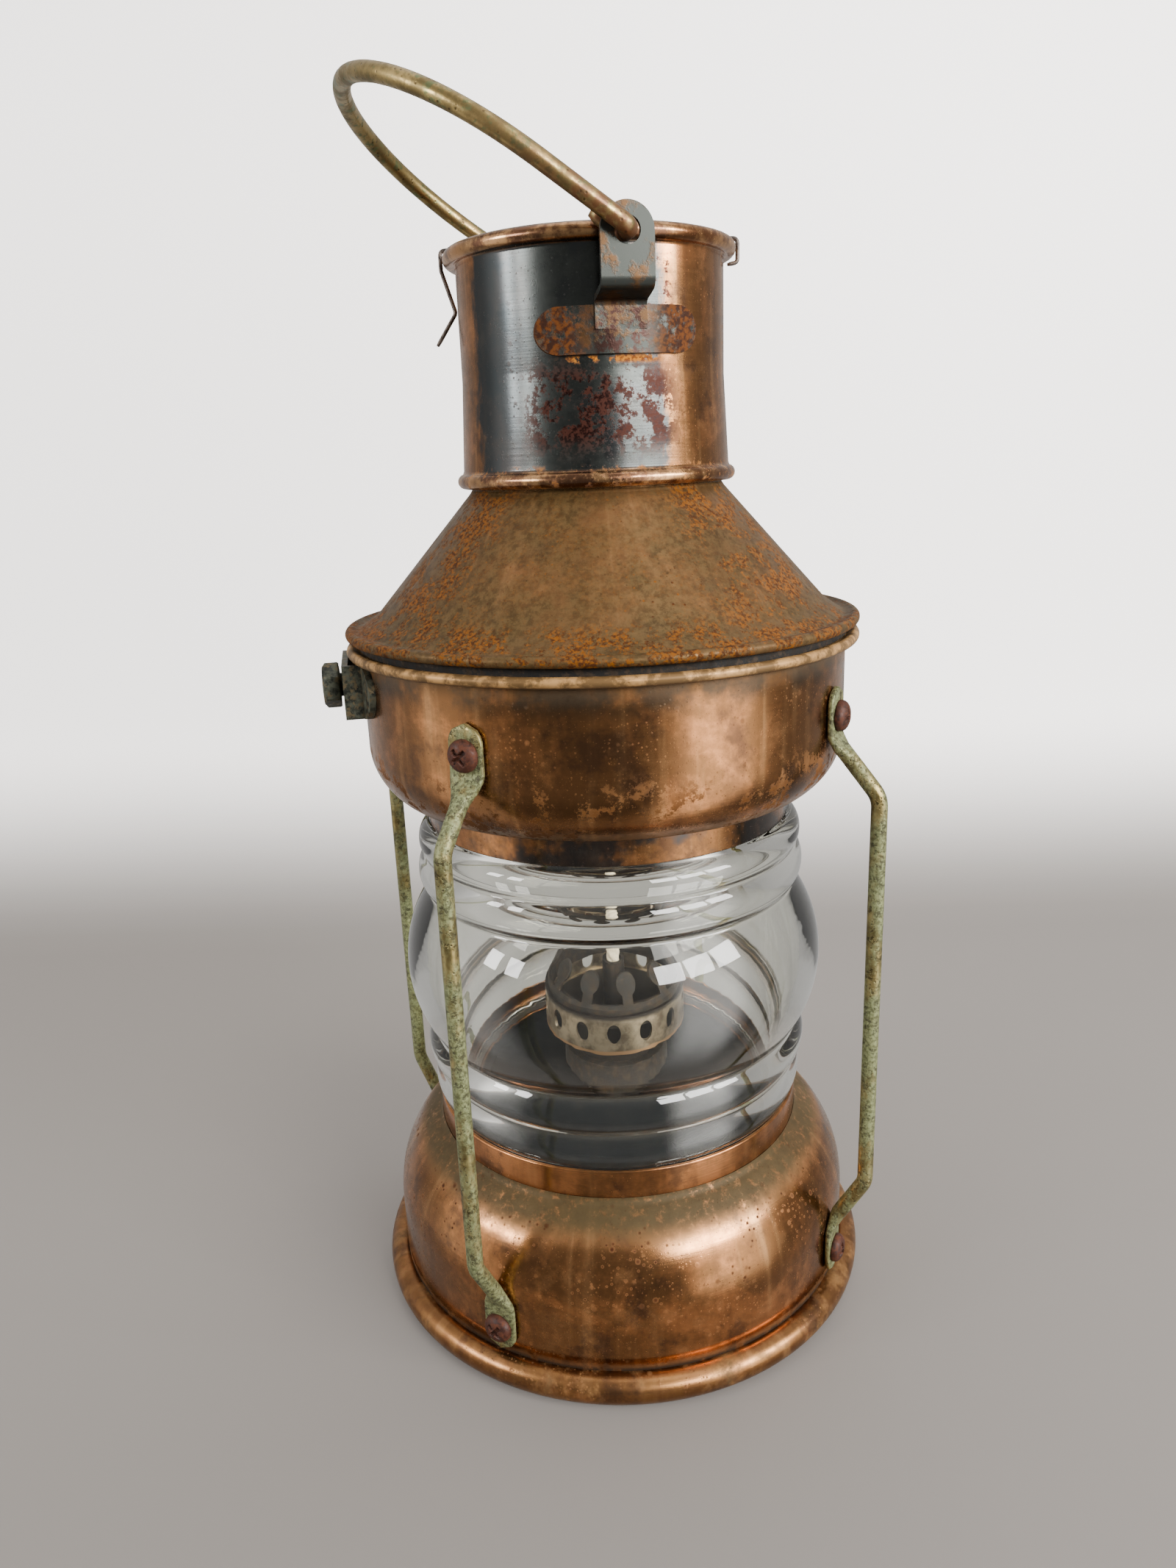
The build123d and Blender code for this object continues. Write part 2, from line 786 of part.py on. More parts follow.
with BuildPart() as font_tank:
    with BuildSketch(Plane.XZ):
        with BuildLine():
            Polyline(
                (0, font_bottom + sheet),
                (0, font_bottom),
                (font_radius - 2, font_bottom),
                (font_radius, font_bottom + 2),
                (font_radius, font_shoulder),
            )
            ThreePointArc(
                (font_radius, font_shoulder),
                (font_radius - 1.7, font_shoulder + 5.4),
                (font_top_radius, font_top_height),
            )
            Line((font_top_radius, font_top_height), (font_top_radius - 2, font_top_height))
            ThreePointArc(
                (font_top_radius - 2, font_top_height),
                (font_radius - 2.7, font_shoulder + 4.8),
                (font_radius - sheet, font_shoulder),
            )
            Polyline(
                (font_radius - sheet, font_shoulder),
                (font_radius - sheet, font_bottom + 2.4),
                (font_radius - 2.4, font_bottom + sheet),
                (0, font_bottom + sheet),
            )
        make_face()
    revolve(axis=Axis.Z)
    # lugs that hang on the ledge inside the base
    with BuildSketch(Plane.XY.offset(ledge_bottom + ledge_thickness + turning_gap)):
        for lug_angle in font_lug_angles:
            with PolarLocations((font_radius + lug_reach) / 2 - 0.25, 1, start_angle=lug_angle):
                Rectangle(lug_reach - font_radius + 0.5, font_lug_width)
    extrude(amount=1.2)
save(font_tank, "font_tank")

# The font's top: a flat rim, a low dome and the neck that takes the burner's collar
with BuildPart() as font_top:
    with BuildSketch(Plane.XZ):
        with BuildLine():
            rim_top = font_top_height + 0.9
            dome_foot = font_top_radius - 5
            neck_inner_radius = font_neck_radius - sheet
            Polyline(
                (dome_foot, font_top_height),
                (font_top_radius, font_top_height),
                (font_top_radius, rim_top),
                (dome_foot, rim_top),
            )
            ThreePointArc((dome_foot, rim_top), (30, 53.2), (font_neck_radius, 57.5))
            Polyline(
                (font_neck_radius, 57.5),
                (font_neck_radius, font_neck_top),
                (neck_inner_radius, font_neck_top),
                (neck_inner_radius, 56.8),
            )
            ThreePointArc((neck_inner_radius, 56.8), (29.6, 52.3), (dome_foot, font_top_height))
        make_face()
    revolve(axis=Axis.Z)
save(font_top, "font_top")

# ---------------------------------------------------------------- burner

collar_outer = font_neck_radius + 1.2

with BuildPart() as burner_collar:
    with BuildSketch(Plane.XZ):
        with BuildLine():
            Polyline(
                (tube_radius, font_neck_top),
                (font_neck_radius + 0.02, font_neck_top),
                (font_neck_radius + 0.02, font_neck_top - 4.4),
                (collar_outer, font_neck_top - 4.4),
                (collar_outer, burner_foot),
                (tube_radius, burner_foot),
                close=True,
            )
        make_face()
    revolve(axis=Axis.Z)
save(burner_collar, "burner_collar")

drum_inner = drum_radius - burner_sheet

with BuildPart() as burner_body:
    with BuildSketch(Plane.XZ):
        with BuildLine():
            Polyline(
                (burner_foot_radius - burner_sheet, burner_foot),
                (burner_foot_radius, burner_foot),
                (burner_foot_radius, drum_floor),
                (drum_inner, drum_floor),
                (drum_inner, drum_skirt),
                (drum_radius, drum_skirt),
                (drum_radius, drum_top),
                (drum_inner, drum_top),
                (drum_inner, drum_floor + burner_sheet),
                (tube_radius, drum_floor + burner_sheet),
                (tube_radius, drum_floor),
                (burner_foot_radius - burner_sheet, drum_floor),
                close=True,
            )
        make_face()
    revolve(axis=Axis.Z)
    for hole in range(air_hole_count):
        with BuildSketch(outward_plane(hole * 360 / air_hole_count, drum_radius - 3, air_hole_height)):
            Ellipse(1.9, 2.8)
        extrude(amount=6, mode=Mode.SUBTRACT)
    with BuildSketch(Plane.XZ):
        with Locations((spindle_offset, spindle_height)):
            Circle(spindle_radius + running_gap)
    extrude(amount=-30, mode=Mode.SUBTRACT)
save(burner_body, "burner_body")

# Outlines of the prongs seen from outside, standing on a ring
with BuildPart() as prong_outlines:
    for prong in range(prong_count):
        with BuildSketch(outward_plane((prong + 0.5) * 360 / prong_count, 12, drum_top)):
            with Locations((0, (prong_top - drum_top) / 2 - 1)):
                Rectangle(prong_stem, prong_top - drum_top - 2)
            with Locations((0, prong_top - drum_top - prong_head_radius)):
                Circle(prong_head_radius)
        extrude(amount=12)
    with BuildSketch(Plane.XY.offset(drum_top - 3.5)):
        Circle(drum_radius)
    extrude(amount=6)

with BuildPart() as burner_crown:
    with BuildSketch(Plane.XZ):
        with BuildLine():
            crown_outer = drum_inner - 0.02
            crown_inner = crown_outer - burner_sheet
            Polyline(
                (crown_outer, drum_top - 3.5),
                (crown_outer, drum_top + 1.5),
                (crown_outer - prong_lean, prong_top),
                (crown_inner - prong_lean, prong_top),
                (crown_inner, drum_top + 1.5),
                (crown_inner, drum_top - 3.5),
                close=True,
            )
        make_face()
    revolve(axis=Axis.Z)
    add(prong_outlines.part, mode=Mode.INTERSECT)
save(burner_crown, "burner_crown")

with BuildPart() as wick_tube:
    with BuildSketch(Plane.XY.offset(font_neck_top - 4)):
        Circle(tube_radius)
        Circle(tube_bore, mode=Mode.SUBTRACT)
    extrude(amount=tube_top - font_neck_top + 4)
    # window for the toothed wheel
    with BuildSketch(Plane.XZ.offset(-2)):
        with Locations((spindle_offset, spindle_height)):
            Circle(wheel_radius + 0.5)
    extrude(amount=4, mode=Mode.SUBTRACT)
save(wick_tube, "wick_tube")

with BuildPart() as wick:
    with BuildSketch(Plane.XY.offset(wick_foot)):
        Circle(wick_radius)
    extrude(amount=wick_top - wick_foot)
save(wick, "wick")

with BuildPart() as wick_wheel:
    with BuildSketch(Plane.XZ.offset(-1.2)):
        with Locations((spindle_offset, spindle_height)):
            Circle(wheel_radius)
            Circle(spindle_radius, mode=Mode.SUBTRACT)
        with Locations((spindle_offset, spindle_height)):
            with PolarLocations(wheel_radius, 12):
                Rectangle(1.2, 0.7, mode=Mode.SUBTRACT)
    extrude(amount=2.4)
save(wick_wheel, "wick_wheel")

with BuildPart() as wick_spindle:
    with BuildSketch(Plane.XZ.offset(2.5)):
        with Locations((spindle_offset, spindle_height)):
            Circle(spindle_radius)
    extrude(amount=-(knob_start + knob_thickness + 2.5))
save(wick_spindle, "wick_spindle")

with BuildPart() as wick_knob:
    with BuildSketch(Plane.XZ.offset(-knob_start)):
        with Locations((spindle_offset, spindle_height)):
            Circle(knob_radius)
            Circle(spindle_radius, mode=Mode.SUBTRACT)
        with Locations((spindle_offset, spindle_height)):
            with PolarLocations(knob_radius, 24):
                Rectangle(0.8, 0.6, mode=Mode.SUBTRACT)
    extrude(amount=-knob_thickness)
save(wick_knob, "wick_knob")
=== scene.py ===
"""Looks of the ship lantern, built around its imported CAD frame.

Lengths are in millimetres until a mesh is made, and angles in degrees until they are used.
"""

import math

import bmesh
import bpy
from mathutils import Matrix, Vector, noise


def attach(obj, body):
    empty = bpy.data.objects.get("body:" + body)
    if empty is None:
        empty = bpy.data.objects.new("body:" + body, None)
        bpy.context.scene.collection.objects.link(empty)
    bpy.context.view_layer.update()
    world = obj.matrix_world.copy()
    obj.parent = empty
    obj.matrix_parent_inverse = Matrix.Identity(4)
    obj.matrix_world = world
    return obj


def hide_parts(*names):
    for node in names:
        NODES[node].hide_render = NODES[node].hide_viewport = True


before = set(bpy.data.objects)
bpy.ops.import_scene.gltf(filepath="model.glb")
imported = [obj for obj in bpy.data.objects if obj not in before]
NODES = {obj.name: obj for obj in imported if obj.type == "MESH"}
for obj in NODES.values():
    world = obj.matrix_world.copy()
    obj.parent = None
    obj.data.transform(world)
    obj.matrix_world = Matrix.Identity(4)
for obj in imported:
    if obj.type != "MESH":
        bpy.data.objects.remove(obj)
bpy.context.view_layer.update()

MM = 0.001
TURN = math.tau
SEGMENTS = 224

ROOT, HOOD, BAIL, BOLT, FONT, KNOB, WICK = (
    "lantern_body", "hood", "bail", "socket_bolt", "font", "wick_knob", "wick",
)

# Driving dimensions, the same as the CAD pieces have. A pair is (radius, height).
SHEET = 1.0
WIRE_RADIUS = 2.0
ROLLED_EDGE = 1.3
GUARD_ANGLES = {
    "guard_back_right": 49.5, "guard_back_left": 139.5,
    "guard_front_left": 229.5, "guard_front_right": 319.5,
}

BEAD_CENTER = (66.0, 3.8)
BEAD_RADIUS = 4.0
BASE_RADIUS = 65.0
BASE_WALL_FOOT = 4.2
SHOULDER_CENTER = (38.0, 24.0)
SHOULDER_RADIUS = 27.0
SHOULDER_END = 58
COLLAR_RADIUS = 51.4
COLLAR_BORE = 50.45
COLLAR_FOOT = 46.2
COLLAR_TOP = 56.0
SEAT_HEIGHT = 49.0
SEAT_BORE = 45.5

GLASS_FOOT = 50.6
GLASS_FOOT_RADIUS = 49.8
GLASS_BORE = 46.4
GLASS_HEAD = 143.0
GLASS_HEAD_RADIUS = 46.9
GLASS_HEAD_BORE = 43.9
RIB_HEIGHTS = (56.2, 66.0, 77.0, 117.2, 127.8, 135.8)
RIB_RADII = (50.5, 51.0, 51.4, 50.0, 50.3, 49.0)
RIB_CROWNS = (1.5, 2.2, 6.7, 2.2, 2.0)
BULGE_CROWN = 7.2

NECK_RADIUS = 48.3
NECK_FOOT = 136.3
NECK_BORE = 42.5
NECK_FLANGE_RADIUS = 52.0
BOWL_RADIUS = 62.2
BOWL_ROUND = 16.0
BOWL_ROUND_HEIGHT = 158.7
BOWL_FLOOR = 144.8
FLANGE_EDGE_RADIUS = 64.3
BOWL_FLANGE = 183.1

HOOD_FLANGE = 187.4
CONE_FOOT = (57.0, 191.5)
CONE_MIDDLE = (46.6, 203.2)
CONE_HEAD = (31.9, 219.8)
CONE_COLLAR_RADIUS = 31.4
CONE_COLLAR_TOP = 228.0
CHIMNEY_SHEET = 0.9
CHIMNEY_RADIUS = 31.9
CHIMNEY_FOOT_RADIUS = 32.9
CHIMNEY_FOOT = 222.8
CHIMNEY_STRAIGHT = 246.0
CHIMNEY_BEAD = 1.8
CHIMNEY_BEAD_CENTER = 33.0
RIM_HEIGHT = 273.2

HINGE_HEIGHT = 271.8
BAIL_LEAN = 56.6
BAIL_HALF_WIDTH = 44.5
BAIL_CROWN = 41.0
CLIP_ANGLE = 168.5
CLIP_RADIUS = 0.49
CLIP_REACH = 35.4

GUARD_REACH = 74.3
GUARD_TOP = (63.02, 173.3)
GUARD_BOTTOM = (65.85, 9.5)
SCREW_SEATS = ((63.8, 166.3), (66.6, 16.2))
SCREW_HEAD_RADIUS = 3.8
SCREW_HEAD_HEIGHT = 2.6

SOCKET_HEIGHT = 174.8
BOLT_RADIUS = 2.95
BOLT_HEAD_START = 67.9
BOLT_HEAD_FLATS = 10.0
BOLT_HEAD_HEIGHT = 4.2

WICK_FOOT = 18.0
WICK_TOP = 93.2

VIEW_TURN = -11.5


# ------------------------------------------------------------------ materials

class Nodes:
    """Arithmetic on the sockets of one node tree."""

    def __init__(self, tree):
        self.tree = tree

    def new(self, kind, **settings):
        node = self.tree.nodes.new(kind)
        for key, value in settings.items():
            setattr(node, key, value)
        return node

    def join(self, socket, value):
        if isinstance(value, bpy.types.NodeSocket):
            self.tree.links.new(value, socket)
        elif socket.type == "RGBA" and len(value) == 3:
            socket.default_value = (*value, 1)
        else:
            socket.default_value = value

    def vector(self, operation, a, b=None, scale=None):
        node = self.new("ShaderNodeVectorMath", operation=operation)
        self.join(node.inputs[0], a)
        if b is not None:
            self.join(node.inputs[1], b)
        if scale is not None:
            node.inputs["Scale"].default_value = scale
        return node.outputs["Value" if operation in ("LENGTH", "DOT_PRODUCT") else "Vector"]

    def math(self, operation, a, b=0.0):
        node = self.new("ShaderNodeMath", operation=operation)
        self.join(node.inputs[0], a)
        self.join(node.inputs[1], b)
        return node.outputs[0]

    def product(self, *values):
        total = values[0]
        for value in values[1:]:
            total = self.math("MULTIPLY", total, value)
        return total

    def either(self, *values):
        total = values[0]
        for value in values[1:]:
            total = self.math("MAXIMUM", total, value)
        return total

    def step(self, value, low, high, to_low=0.0, to_high=1.0):
        """value eased from low..high to to_low..to_high; low may be above high."""
        node = self.new("ShaderNodeMapRange", interpolation_type="SMOOTHSTEP")
        self.join(node.inputs["Value"], value)
        if low > high:
            low, high, to_low, to_high = high, low, to_high, to_low
        node.inputs["From Min"].default_value = low
        node.inputs["From Max"].default_value = high
        node.inputs["To Min"].default_value = to_low
        node.inputs["To Max"].default_value = to_high
        return node.outputs["Result"]

    def band(self, value, low, high, soft):
        """1 where value is between low and high, easing to 0 over twice soft at either end."""
        risen = self.step(value, low - soft, low + soft)
        return self.product(risen, self.step(value, high + soft, high - soft))

    def mix(self, factor, a, b):
        node = self.new("ShaderNodeMix", data_type="RGBA")
        self.join(node.inputs[0], factor)
        self.join(node.inputs[6], a)
        self.join(node.inputs[7], b)
        return node.outputs[2]

    def blend(self, factor, a, b):
        node = self.new("ShaderNodeMix", data_type="FLOAT")
        self.join(node.inputs[0], factor)
        self.join(node.inputs[2], a)
        self.join(node.inputs[3], b)
        return node.outputs[0]

    def parts(self, vector):
        """The x, y and z of a vector socket."""
        split = self.new("ShaderNodeSeparateXYZ")
        self.join(split.inputs[0], vector)
        return split.outputs


class Surface(Nodes):
    """One material's node tree, with coordinates in millimetres of the lantern's own frame."""

    def __init__(self, name):
        self.material = bpy.data.materials.new(name)
        self.material.use_nodes = True
        super().__init__(self.material.node_tree)
        self.tree.nodes.clear()
        self.output = self.new("ShaderNodeOutputMaterial")
        coordinates = self.new("ShaderNodeTexCoord").outputs["Object"]
        self.place = self.vector("SCALE", coordinates, scale=1 / MM)
        self.x, self.y, self.z = self.parts(self.place)
        self.angle = self.math("MULTIPLY", self.math("ARCTAN2", self.y, self.x), 180 / math.pi)

    def noise(self, size, detail=4, rough=0.55, stretch=(1, 1, 1), offset=(0, 0, 0), warp=0.0):
        """Noise from 0 to 1, its features about size millimetres across, longer where stretch is more."""
        mapping = self.new("ShaderNodeMapping")
        self.join(mapping.inputs["Vector"], self.place)
        mapping.inputs["Location"].default_value = offset
        mapping.inputs["Scale"].default_value = [1 / (size * s) for s in stretch]
        node = self.new("ShaderNodeTexNoise")
        self.join(node.inputs["Vector"], mapping.outputs[0])
        node.inputs["Scale"].default_value = 1
        node.inputs["Detail"].default_value = detail
        node.inputs["Roughness"].default_value = rough
        node.inputs["Distortion"].default_value = warp
        return node.outputs["Fac"]

    def round_noise(self, size_round, size_up, detail=3, offset=0.0):
        """Noise drawn out round the axis or up it, from the angle and the height."""
        usual_radius = 60
        combine = self.new("ShaderNodeCombineXYZ")
        outward_way = self.vector("NORMALIZE", self.vector("MULTIPLY", self.place, (1, 1, 0)))
        for socket, part in zip(combine.inputs[:2], self.parts(outward_way)[:2]):
            self.join(socket, self.math("MULTIPLY", part, usual_radius / size_round))
        self.join(combine.inputs[2], self.math("MULTIPLY", self.z, 1 / size_up))
        node = self.new("ShaderNodeTexNoise")
        shifted = self.vector("ADD", combine.outputs[0], (offset, offset, offset))
        self.join(node.inputs["Vector"], shifted)
        node.inputs["Scale"].default_value = 1
        node.inputs["Detail"].default_value = detail
        return node.outputs["Fac"]

    def specks(self, size, share, soft=0.12, offset=(0, 0, 0)):
        """Round specks of about size millimetres, over a share of the cells."""
        mapping = self.new("ShaderNodeMapping")
        self.join(mapping.inputs["Vector"], self.place)
        mapping.inputs["Location"].default_value = offset
        mapping.inputs["Scale"].default_value = [0.5 / size] * 3
        cells = self.new("ShaderNodeTexVoronoi")
        self.join(cells.inputs["Vector"], mapping.outputs[0])
        cells.inputs["Scale"].default_value = 1
        split = self.new("ShaderNodeSeparateColor")
        self.join(split.inputs[0], cells.outputs["Color"])
        near = self.step(cells.outputs["Distance"], 0.32, 0.32 - 2 * soft)
        chosen = self.step(split.outputs[0], share + 0.02, share - 0.02)
        return self.product(near, chosen)

    def bump(self, height, distance, strength=1.0):
        """distance is how many millimetres a height of 1 stands up."""
        node = self.new("ShaderNodeBump")
        node.inputs["Strength"].default_value = strength
        node.inputs["Distance"].default_value = distance * MM
        self.join(node.inputs["Height"], height)
        return node.outputs["Normal"]

    def finish(self, color, roughness, metallic=0.0, normal=None, **plain):
        shader = self.new("ShaderNodeBsdfPrincipled")
        self.join(shader.inputs["Base Color"], color)
        self.join(shader.inputs["Roughness"], roughness)
        self.join(shader.inputs["Metallic"], metallic)
        if normal is not None:
            self.join(shader.inputs["Normal"], normal)
        for key, value in plain.items():
            self.join(shader.inputs[key.replace("_", " ")], value)
        self.join(self.output.inputs["Surface"], shader.outputs[0])
        return self.material


BRIGHT = (0.86, 0.46, 0.20)
MIDDLE = (0.54, 0.228, 0.088)
BROWN = (0.225, 0.105, 0.042)
DARK = (0.040, 0.050, 0.054)
OLIVE = (0.030, 0.022, 0.009)
RUST = (0.044, 0.011, 0.002)
DEEP_RUST = (0.016, 0.004, 0.0015)


def copper(name, low_dust=None, stain=None, dust=0.0, rust=0.35, tone=0.5, extra=None, gloss=0.27):
    """Aged copper sheet: brown tarnish in soft clouds, specks of rust and verdigris dust.

    stain(surface) gives the share of dark stain, low_dust(surface) the share of olive dust, and
    extra(surface, colour, roughness, metallic) may paint more on top.
    """
    s = Surface(name)
    clouds = s.noise(24, 5, 0.62, warp=0.8)
    fine = s.noise(2.6, 5, 0.7, offset=(40, 3, 9))
    turned = s.round_noise(60, 0.55, 4, 3.0)
    streaks = s.round_noise(4.5, 70, 4, 9.0)
    mottle = s.math("ADD", s.product(clouds, 0.7), s.product(fine, 0.3))
    tarnish = s.step(mottle, 0.34 + 0.25 * tone, 0.58 + 0.25 * tone)
    color = s.mix(tarnish, BROWN, MIDDLE)
    color = s.mix(s.product(s.step(streaks, 0.52, 0.75), 0.30), color, BRIGHT)
    color = s.mix(s.product(s.step(streaks, 0.47, 0.30), 0.28), color, (0.12, 0.055, 0.030))
    smoked = s.product(s.step(s.noise(13, 5, 0.65, offset=(6, 2, 30)), 0.53, 0.66), 0.6)
    color = s.mix(smoked, color, (0.075, 0.042, 0.028))
    roughness = s.math("ADD", s.product(tarnish, -0.06), s.product(turned, 0.08))
    roughness = s.math("ADD", roughness, gloss)
    metallic = 1.0
    if stain is not None:
        share = stain(s)
        color = s.mix(share, color, DARK)
        roughness = s.blend(share, roughness, 0.20)
    film = s.step(s.noise(9, 6, 0.7, offset=(7, 7, 1)), 0.48, 0.70)
    olive = s.product(film, dust)
    if low_dust is not None:
        olive = s.either(olive, s.product(low_dust(s), s.step(s.noise(2.2, 6, 0.75), 0.20, 0.50)))
    color = s.mix(olive, color, s.mix(fine, OLIVE, (0.064, 0.047, 0.021)))
    roughness = s.blend(olive, roughness, 0.55)
    metallic = s.blend(olive, metallic, 0.15)
    patches = s.step(s.noise(17, 3, 0.6, offset=(3, 50, 20)), 0.44, 0.58)
    freckles = s.either(
        s.product(s.specks(0.50, 0.50), patches),
        s.product(s.specks(1.3, 0.30, offset=(9, 9, 9)), patches, s.step(fine, 0.40, 0.52)),
        s.product(s.specks(0.30, 0.30, offset=(2, 8, 4)), 0.45),
    )
    rusty = s.product(freckles, rust)
    color = s.mix(rusty, color, s.mix(s.step(fine, 0.4, 0.6), DEEP_RUST, RUST))
    roughness = s.blend(rusty, roughness, 0.75)
    metallic = s.blend(rusty, metallic, 0.15)
    if extra is not None:
        color, roughness, metallic = extra(s, color, roughness, metallic)
    heights = s.math("ADD", s.product(s.noise(38, 2, 0.4, offset=(5, 1, 2)), 1.5), s.product(turned, 0.045))
    heights = s.math("ADD", heights, s.product(rusty, 0.10))
    normal = s.bump(heights, 0.35, 0.9)
    return s.finish(color, roughness, metallic, normal, Specular_IOR_Level=0.12)


def chimney_stain(s):
    """Ragged-edged front face where the copper has burnt off, from left of the ear to its right."""
    ragged = s.product(s.math("SUBTRACT", s.noise(7, 5, 0.7, stretch=(1, 1, 3)), 0.5), 26)
    angle = s.math("ADD", s.angle, ragged)
    return s.product(s.band(angle, -157, -72, 3), 0.96)


def chimney_extra(s, color, roughness, metallic):
    """Bared steel and purple rust under the ear, orange rust in the creases, and rubbed beads."""
    bared = s.band(s.angle, -128, -76, 12)
    steel = s.product(bared, s.step(s.noise(14, 5, 0.65, offset=(1, 4, 4)), 0.34, 0.50))
    color = s.mix(steel, color, s.mix(s.noise(2.0, 5, 0.7), (0.034, 0.038, 0.036), (0.066, 0.070, 0.064)))
    roughness = s.blend(steel, roughness, 0.29)
    bloom = s.step(s.noise(5.5, 6, 0.75, offset=(8, 2, 6)), 0.47, 0.53)
    low = s.product(s.band(s.z, 229, 247, 4), s.band(s.angle, -128, -66, 8), bloom)
    high = s.product(s.band(s.z, 256, 270, 3), s.band(s.angle, -88, -66, 5))
    high = s.product(high, s.step(s.noise(3, 5, 0.7), 0.52, 0.58))
    grains = s.step(s.noise(0.9, 4, 0.7, offset=(4, 2, 2)), 0.42, 0.56)
    color = s.mix(s.either(low, high), color, s.mix(grains, (0.014, 0.005, 0.004), (0.044, 0.015, 0.010)))
    roughness = s.blend(low, roughness, s.blend(grains, 0.28, 0.55))
    metallic = s.blend(low, metallic, 0.55)
    run = s.product(s.band(s.z, 247.3, 248.6, 0.5), s.band(s.angle, -112, -74, 6))
    run = s.product(run, s.step(s.noise(2.2, 4), 0.44, 0.52))
    ring = s.product(s.step(s.z, 226.5, 224.5), s.step(s.noise(2.8, 5, 0.7), 0.53, 0.62))
    orange = s.either(run, s.product(ring, 0.6))
    color = s.mix(orange, color, s.mix(grains, (0.15, 0.040, 0.005), (0.42, 0.15, 0.012)))
    roughness = s.blend(orange, roughness, 0.7)
    metallic = s.blend(orange, metallic, 0.1)
    bead = s.product(s.either(s.step(s.z, 271.0, 272.0), s.step(s.z, 225.2, 224.4)), 0.75)
    worn = s.step(s.noise(5, 5, 0.7, offset=(1, 2, 3)), 0.42, 0.62)
    rubbed = s.mix(worn, (0.17, 0.075, 0.036), (0.60, 0.33, 0.145))
    color = s.mix(s.product(bead, s.math("SUBTRACT", 1.0, orange)), color, rubbed)
    return color, roughness, metallic


def cone_extra(s, color, roughness, metallic):
    """Brown age in clouds and painted shade darkening both flanks, under orange rust in drifts, a low
    sprinkle in front and specks.
    """
    drift = s.step(s.noise(12, 8, 0.82, offset=(4, 6, 11)), 0.47, 0.52)
    grain = s.step(s.noise(1.0, 4, 0.7, offset=(4, 4, 4)), 0.38, 0.50)
    sides = s.either(s.band(s.angle, -172, -138, 8), s.band(s.angle, -72, -30, 8), s.step(s.z, 195, 191))
    share = s.product(drift, grain, s.math("ADD", s.product(sides, 0.72), 0.18))
    age_and_flank_shade = s.step(s.noise(22, 5, 0.66, offset=(3, 9, 6)), 0.34, 0.62, 0.35, 0.85)
    # Painted shade: both flanks, away from the front, are darkened as far as the brown age.
    age_and_flank_shade = s.either(age_and_flank_shade, s.product(s.either(s.step(s.angle, -112, -150), s.step(s.angle, -68, -30)), 0.85))
    mottled = s.step(s.noise(2.0, 6, 0.78, offset=(1, 1, 7)), 0.38, 0.60)
    color = s.mix(age_and_flank_shade, color, s.mix(mottled, (0.040, 0.026, 0.010), (0.098, 0.062, 0.024)))
    metallic = s.blend(age_and_flank_shade, metallic, 0.55)
    sprinkle = s.product(s.band(s.angle, -98, -62, 9), s.band(s.z, 192, 204, 4))
    sprinkle = s.product(s.specks(0.75, 0.6, offset=(2, 5, 8)), sprinkle)
    specks = s.step(s.noise(15, 3, offset=(8, 8, 1)), 0.44, 0.56)
    specks = s.product(s.specks(0.6, 0.45, offset=(7, 1, 3)), specks)
    share = s.either(share, s.product(sprinkle, s.step(s.noise(4, 4), 0.42, 0.52)), s.product(specks, 0.75))
    orange = s.mix(s.step(s.noise(0.9, 2), 0.4, 0.6), (0.150, 0.047, 0.002), (0.038, 0.010, 0.001))
    color = s.mix(share, color, orange)
    roughness = s.blend(share, roughness, 0.78)
    metallic = s.blend(share, metallic, 0.05)
    return color, roughness, metallic


def flat_edge_extra(s, color, roughness, metallic):
    """Flanges and beads: rubbed golden along their crests, brown between."""
    worn = s.step(s.noise(5, 5, 0.7, offset=(1, 2, 3)), 0.44, 0.62)
    color = s.mix(s.product(worn, 0.4), color, (0.32, 0.16, 0.055))
    return color, roughness, metallic


def bowl_extra(s, color, roughness, metallic):
    """Golden rubbed flange, dark heat stain under it, and rust along the lower curve."""
    flange = s.step(s.z, 181.8, 182.6)
    worn = s.step(s.noise(5, 5, 0.7, offset=(1, 2, 3)), 0.42, 0.60)
    rubbed = s.mix(worn, (0.13, 0.075, 0.030), (0.46, 0.26, 0.10))
    color = s.mix(s.product(flange, 0.85), color, rubbed)
    burnt = s.product(s.band(s.z, 176, 181.5, 2.5), s.step(s.noise(12, 4, 0.6, offset=(5, 5, 2)), 0.36, 0.56))
    color = s.mix(s.product(burnt, 0.8), color, (0.060, 0.050, 0.036))
    drift = s.step(s.noise(8, 8, 0.80, offset=(2, 6, 1)), 0.53, 0.57)
    low = s.product(s.step(s.z, 164, 152), drift)
    orange = s.mix(s.noise(1.0, 3), (0.090, 0.030, 0.001), (0.022, 0.006, 0.001))
    color = s.mix(s.product(low, 0.85), color, orange)
    return color, s.blend(low, roughness, 0.7), s.blend(low, metallic, 0.1)


def base_extra(s, color, roughness, metallic):
    """Painted shade darkening the crease above the bead, and pits where the shoulder turns."""
    # Painted shade: darker in the crease just above the bead, broken up by noise.
    crease_shade = s.product(s.step(s.z, 10.2, 7.8), s.step(s.noise(4, 4), 0.25, 0.5))
    pits = s.either(s.specks(0.8, 0.5, offset=(1, 7, 3)), s.specks(1.5, 0.22))
    pits = s.product(pits, s.band(s.z, 26, 44, 3))
    pits = s.product(pits, s.step(s.noise(20, 2, offset=(30, 1, 6)), 0.46, 0.56))
    color = s.mix(pits, color, s.mix(s.noise(0.7, 2), (0.020, 0.005, 0.002), (0.055, 0.015, 0.002)))
    color = s.mix(crease_shade, color, (0.035, 0.022, 0.014))
    both = s.either(crease_shade, pits)
    return color, s.blend(both, roughness, 0.7), s.blend(both, metallic, 0.15)


